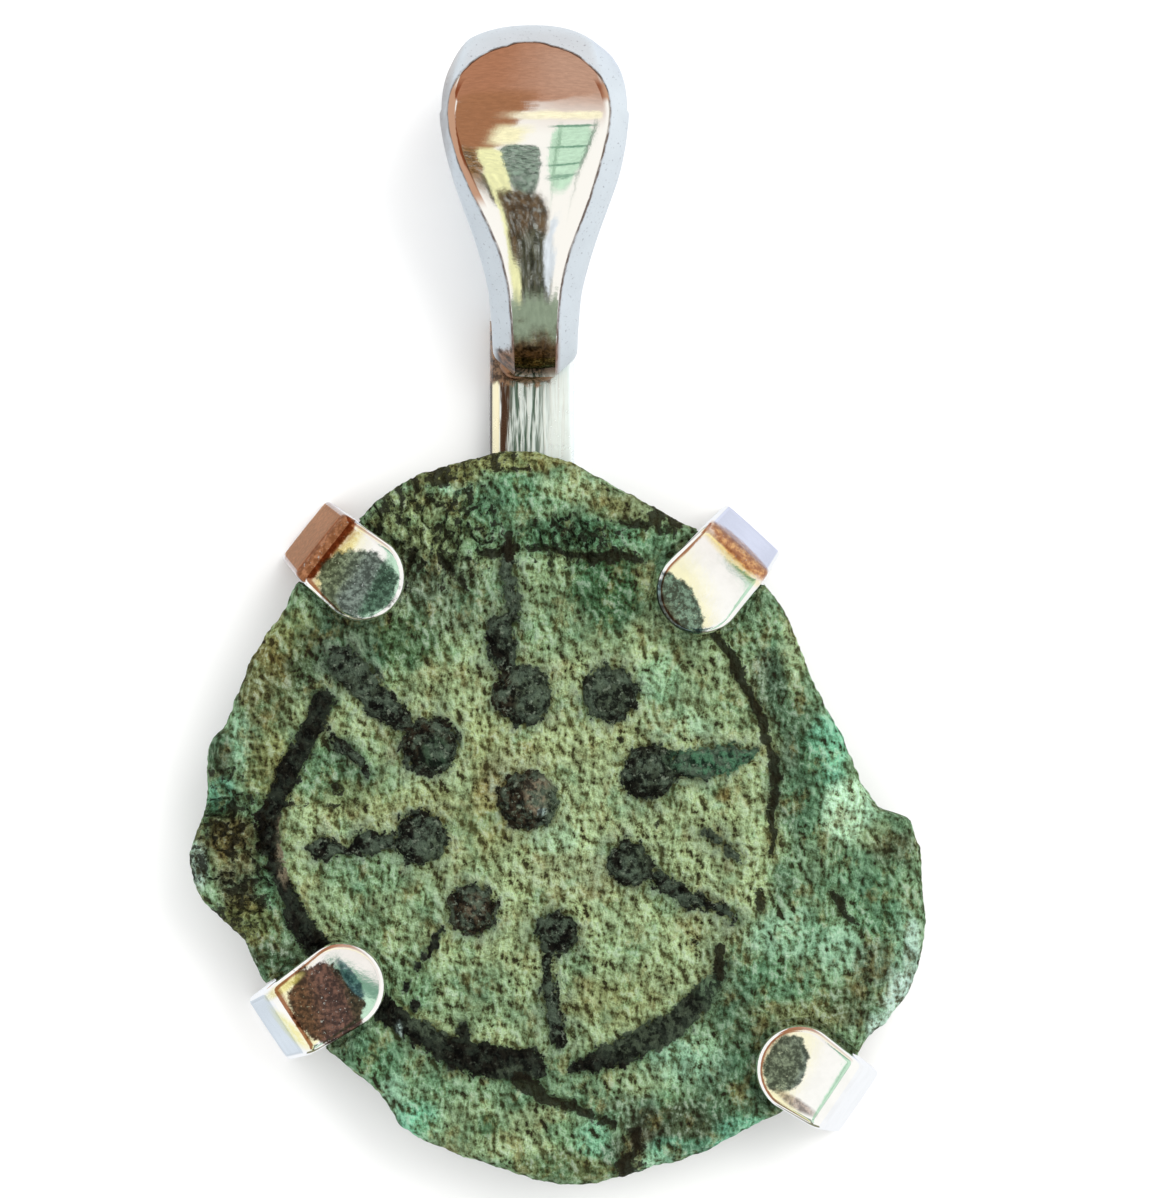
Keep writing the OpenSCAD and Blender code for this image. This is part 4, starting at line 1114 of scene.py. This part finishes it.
def buildSetting():
    parts = [("ring", buildRing(), 1), ("stem", buildStem(), 2), ("bail", buildBail(), 4),
             ("solder", buildSolder(), 3)]
    parts += [("prong%d" % k, buildProng(row), 0) for k, row in enumerate(prong["rows"])]
    shells = []
    for name, bm, slotIndex in parts:
        for vert in bm.verts:
            vert.co = ((vert.co.x + starAt[0]) * mm, (vert.co.y + starAt[1]) * mm, vert.co.z * mm)
        for face in bm.faces:
            face.material_index = slotIndex
        bmesh.ops.remove_doubles(bm, verts=bm.verts[:], dist=1e-8)
        openEdges = [e for e in bm.edges if not e.is_manifold]
        print("shell", name, len(bm.faces), "faces,", len(openEdges), "open edges")
        shells.append(newPiece(name + "Shell", bm, silverMaterials))
    whole = shells[0]
    whole.name = "silverSetting"
    for shell in shells[1:]:
        joining = whole.modifiers.new("join", "BOOLEAN")
        joining.operation = "UNION"
        joining.solver = "MANIFOLD"
        joining.object = shell
    depsgraph = bpy.context.evaluated_depsgraph_get()
    joined = bpy.data.meshes.new_from_object(whole.evaluated_get(depsgraph))
    whole.modifiers.clear()
    whole.data = joined
    for shell in shells[1:]:
        bpy.data.objects.remove(shell)
    joined.shade_smooth()
    joined.set_sharp_from_angle(angle=math.radians(ringAndStem["sharpFrom"]))
    print("faces of each finish", np.bincount([face.material_index for face in joined.polygons]).tolist())
    markBailFace(joined)
    return whole


finishes = {    # roughness and colour of each kind of surface
    "polished": (0.06, srgb(255, 254, 252)), "satin": (0.3, srgb(238, 240, 246)),
    "brushed": (0.24, srgb(238, 246, 246)), "solder": (0.28, srgb(150, 112, 84)),
    "bail": (0.3, srgb(196, 204, 210)),
}
marks = {       # colours of what lies on the silver, and of the reflections painted on it
    "sparkle": srgb(206, 214, 212), "scratch": srgb(78, 100, 86), "brown": srgb(74, 50, 32),
    "paintedEdgeHighlight": srgb(252, 240, 196), "edge": srgb(52, 40, 28), "face": srgb(252, 249, 244),
    "grit": srgb(120, 122, 130), "crease": srgb(84, 60, 42), "foot": srgb(122, 84, 58),
    "soot": srgb(122, 112, 108), "rim": srgb(196, 154, 128),
    "burnt": srgb(62, 46, 32), "burntStem": srgb(150, 118, 92), "burntBail": srgb(140, 104, 78),
}


def silver(kind):       # worn silver: faint clouds, fine pits, soft roughness
    roughness, tint = finishes[kind]
    material, tree, shader, place = newMaterial(kind + "Silver")
    shader.inputs["Metallic"].default_value = 1.0
    wear = noiseMap(tree, place, 2.2, 4.0, 0.65)
    colour = mixColour(tree, ease(tree, wear, 0.35, 0.7), tint, tuple(c * 0.95 for c in tint[:3]) + (1,))
    tree.links.new(ease(tree, wear, 0.3, 0.75, roughness * 0.7, roughness * 1.3), shader.inputs["Roughness"])
    tree.links.new(colour, shader.inputs["Base Color"])
    addBump(tree, shader, 0.0008, noiseMap(tree, place, 9.0, 4.0))
    return material, tree, shader, place, colour


def burntCrust(tree, share, colour, lumps, light):      # what the soldering left
    return mixColour(tree, share, colour, mixColour(tree, ease(tree, lumps, 0.4, 0.62), marks["burnt"],
                                                    marks[light]))


# Reflections and highlights painted on the prongs as colour: middle, half sizes, turn, strength, softness,
# dark and light tone
paintedReflections = [
    (-4.3, 5.27, 1.6, 0.55, 3.6, 51.5, 1.0, 0.05, srgb(132, 84, 54), srgb(180, 126, 92)),
    (-3.78, 4.86, 0.8, 0.12, 0.9, 51.5, 0.8, 0.5, srgb(232, 214, 140), srgb(252, 246, 200)),
    (-3.43, 4.33, 0.8, 0.66, 0.9, -10, 0.97, 0.08, srgb(54, 66, 58), srgb(132, 148, 138)),
    (2.92, 3.76, 0.48, 0.78, 0.9, 22.5, 0.97, 0.08, srgb(54, 68, 68), srgb(128, 160, 164)),
    (2.72, 3.6, 0.2, 0.6, 0.9, 22.5, 0.7, 0.5, srgb(54, 46, 36), srgb(96, 90, 70)),
    (4.03, 4.83, 0.75, 0.1, 0.9, -45, 0.8, 0.6, srgb(246, 222, 140), srgb(252, 240, 190)),
    (4.2, 5.0, 0.85, 0.22, 0.9, -45, 0.95, 0.2, srgb(166, 106, 66), srgb(226, 170, 112)),
    (-4.04, -4.04, 0.72, 0.86, 0.9, 33.5, 0.98, 0.06, srgb(56, 38, 32), srgb(122, 88, 74)),
    (-3.57, -3.54, 0.12, 0.46, 0.9, 33.5, 0.9, 0.2, srgb(84, 104, 120), srgb(150, 172, 184)),
    (-4.94, -3.73, 0.46, 0.1, 0.9, 35, 0.7, 0.4, srgb(214, 204, 130), srgb(250, 246, 196)),
    (-4.86, -4.52, 0.16, 0.6, 0.9, 50, 0.8, 0.4, srgb(244, 236, 160), srgb(252, 248, 200)),
    (5.1, -5.23, 0.42, 0.62, 0.9, -20, 0.97, 0.08, srgb(54, 66, 64), srgb(132, 148, 146)),
    (5.3, -6.02, 0.42, 0.1, 0.9, -33, 0.8, 0.4, srgb(84, 64, 52), srgb(190, 170, 158)),
]


def polishedSilver():
    material, tree, shader, place, colour = silver("polished")
    ragged = noiseMap(tree, place, 5.0, 4.0, 0.65)
    mottle = noiseMap(tree, place, 9.0, 4.0, 0.7)
    sparkle = noiseMap(tree, place, 17.0)
    # each painted reflection: a soft oval of mottled colour, with painted glints in the sparkle colour
    for x, y, halfX, halfY, halfZ, turn, strength, softness, dark, light in paintedReflections:
        spot = addNode(tree, "ShaderNodeMapping",
                       {"Vector": place, "Location": (x, y, prong["top"] - 0.01),
                        "Rotation": (0, 0, math.radians(turn)), "Scale": (halfX, halfY, halfZ)},
                       vector_type="TEXTURE").outputs[0]
        off = plus(tree, vectorMath(tree, "LENGTH", {0: spot})["Value"], shake(tree, ragged, 0.6))
        share = ease(tree, off, 1 + softness, 1 - softness, 0.0, strength)
        mixed = mixColour(tree, ease(tree, mottle, 0.4, 0.66), dark, light)
        mixed = mixColour(tree, ease(tree, sparkle, 0.64, 0.72, 0.0, 0.45), mixed, marks["sparkle"])
        colour = mixColour(tree, share, colour, mixed)
    tree.links.new(colour, shader.inputs["Base Color"])
    return material


def brushedSilver():        # the stem: lengthwise scratches, and at its rounded left edge a painted reflection: a brown strip, a cream highlight strip and a dark line
    material, tree, shader, place, colour = silver("brushed")
    shader.inputs["Metallic"].default_value = 0.5
    lines = noiseMap(tree, stretched(tree, place, (15.0, 0.8, 15.0)), 1.0, 3.0, 0.65)
    x = axisOf(tree, place, 0)
    shaken = plus(tree, x, shake(tree, lines, 0.35))
    middle = band(tree, shaken, (-0.56, -0.4), (0.5, 0.0))
    scratched = times(tree, middle, ease(tree, lines, 0.57, 0.41, 0.12, 1.0))
    # painted reflection: brown strip, cream highlight strip and dark line along the rounded left edge
    strips = [(scratched, "scratch"), (band(tree, shaken, (-0.65, -0.59), (-0.38, -0.5)), "brown"),
              (band(tree, x, (-0.83, -0.8), (-0.6, -0.66), 0.85), "paintedEdgeHighlight"),
              (band(tree, x, (-0.85, -0.82), (-0.76, -0.79)), "edge")]
    for share, mark in strips:
        colour = mixColour(tree, share, colour, marks[mark])
    lumps = noiseMap(tree, place, 5.0, 4.0, 0.7)
    height = plus(tree, axisOf(tree, place, 1), shake(tree, lumps, 0.5))
    burnt = times(tree, ease(tree, height, 8.3, 8.45), ease(tree, shaken, 0.5, 0.3))
    colour = burntCrust(tree, burnt, colour, lumps, "burntStem")
    tree.links.new(colour, shader.inputs["Base Color"])
    addBump(tree, shader, 0.008, lines)
    return material


def bailSilver():       # a polished teardrop face in satin flanks, with a dark line between them
    material, tree, shader, place, colour = silver("bail")
    depth = addNode(tree, "ShaderNodeAttribute", {}, attribute_name="faceDepth").outputs["Fac"]
    polished = ease(tree, depth, -0.012, 0.008)
    wear = noiseMap(tree, place, 3.0, 4.0, 0.65)
    lumps = noiseMap(tree, place, 5.0, 4.0, 0.7)
    x, y = axisOf(tree, place, 0), axisOf(tree, place, 1)
    tree.links.new(ease(tree, polished, 0.0, 1.0, 0.4, 0.05), shader.inputs["Roughness"])
    tree.links.new(ease(tree, polished, 0.0, 1.0, 0.3, 1.0), shader.inputs["Metallic"])
    colour = mixColour(tree, polished, colour, marks["face"])

    grit = times(tree, ease(tree, noiseMap(tree, place, 16.0), 0.62, 0.72, 0.0, 0.6),
                 ease(tree, depth, 0.0, -0.05))
    line = plus(tree, depth, shake(tree, wear, 0.06))
    crease = times(tree, band(tree, line, (-0.035, -0.01), (0.03, 0.008)),
                   ease(tree, wear, 0.3, 0.6, 0.35, 0.95))
    stained = times(tree, ease(tree, plus(tree, y, shake(tree, wear, 1.2)), 9.6, 9.0, 0.0, 0.9),
                    ease(tree, depth, -0.1, 0.02))
    # greyer towards the bail's left side
    greyerLeft = times(tree, ease(tree, plus(tree, x, times(tree, wear, 0.3)), -1.3, -1.6, 0.0, 0.6),
                  ease(tree, y, 10.8, 11.8))
    # painted reflection: a copper tint on the polished face near the head's left and right rims
    leftRimReflection = times(tree, ease(tree, x, -0.3, -0.5), band(tree, y, (11.7, 12.0), (14.3, 14.0)))
    rightRimReflection = times(tree, ease(tree, x, 1.1, 1.25), band(tree, y, (13.75, 13.9), (14.3, 14.1)))
    rim = times(tree, sums(tree, "MAXIMUM", leftRimReflection, rightRimReflection), ease(tree, depth, 0.15, 0.125))
    for share, mark in ((grit, "grit"), (crease, "crease"), (stained, "foot"), (greyerLeft, "soot"),
                        (times(tree, rim, polished), "rim")):
        colour = mixColour(tree, share, colour, marks[mark])

    height = plus(tree, y, shake(tree, lumps, 0.5))
    burnt = times(tree, ease(tree, height, 9.1, 8.95),
                  ease(tree, plus(tree, x, times(tree, lumps, 0.4)), 0.6, 0.45))
    burnt = times(tree, burnt, ease(tree, x, -0.75, -0.6))
    colour = burntCrust(tree, burnt, colour, lumps, "burntBail")
    tree.links.new(colour, shader.inputs["Base Color"])
    edge = plus(tree, ease(tree, depth, -0.05, 0.0, 0.0, 0.02), times(tree, wear, 0.001))
    addBump(tree, shader, 1.0, edge)
    return material


silverMaterials = [
    polishedSilver(),
    silver("satin")[0],
    brushedSilver(),
    silver("solder")[0],
    bailSilver(),
]
silverSetting = buildSetting()
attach(silverSetting, "root")
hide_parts("setting")
print("setting built:", len(silverSetting.data.polygons), "faces")
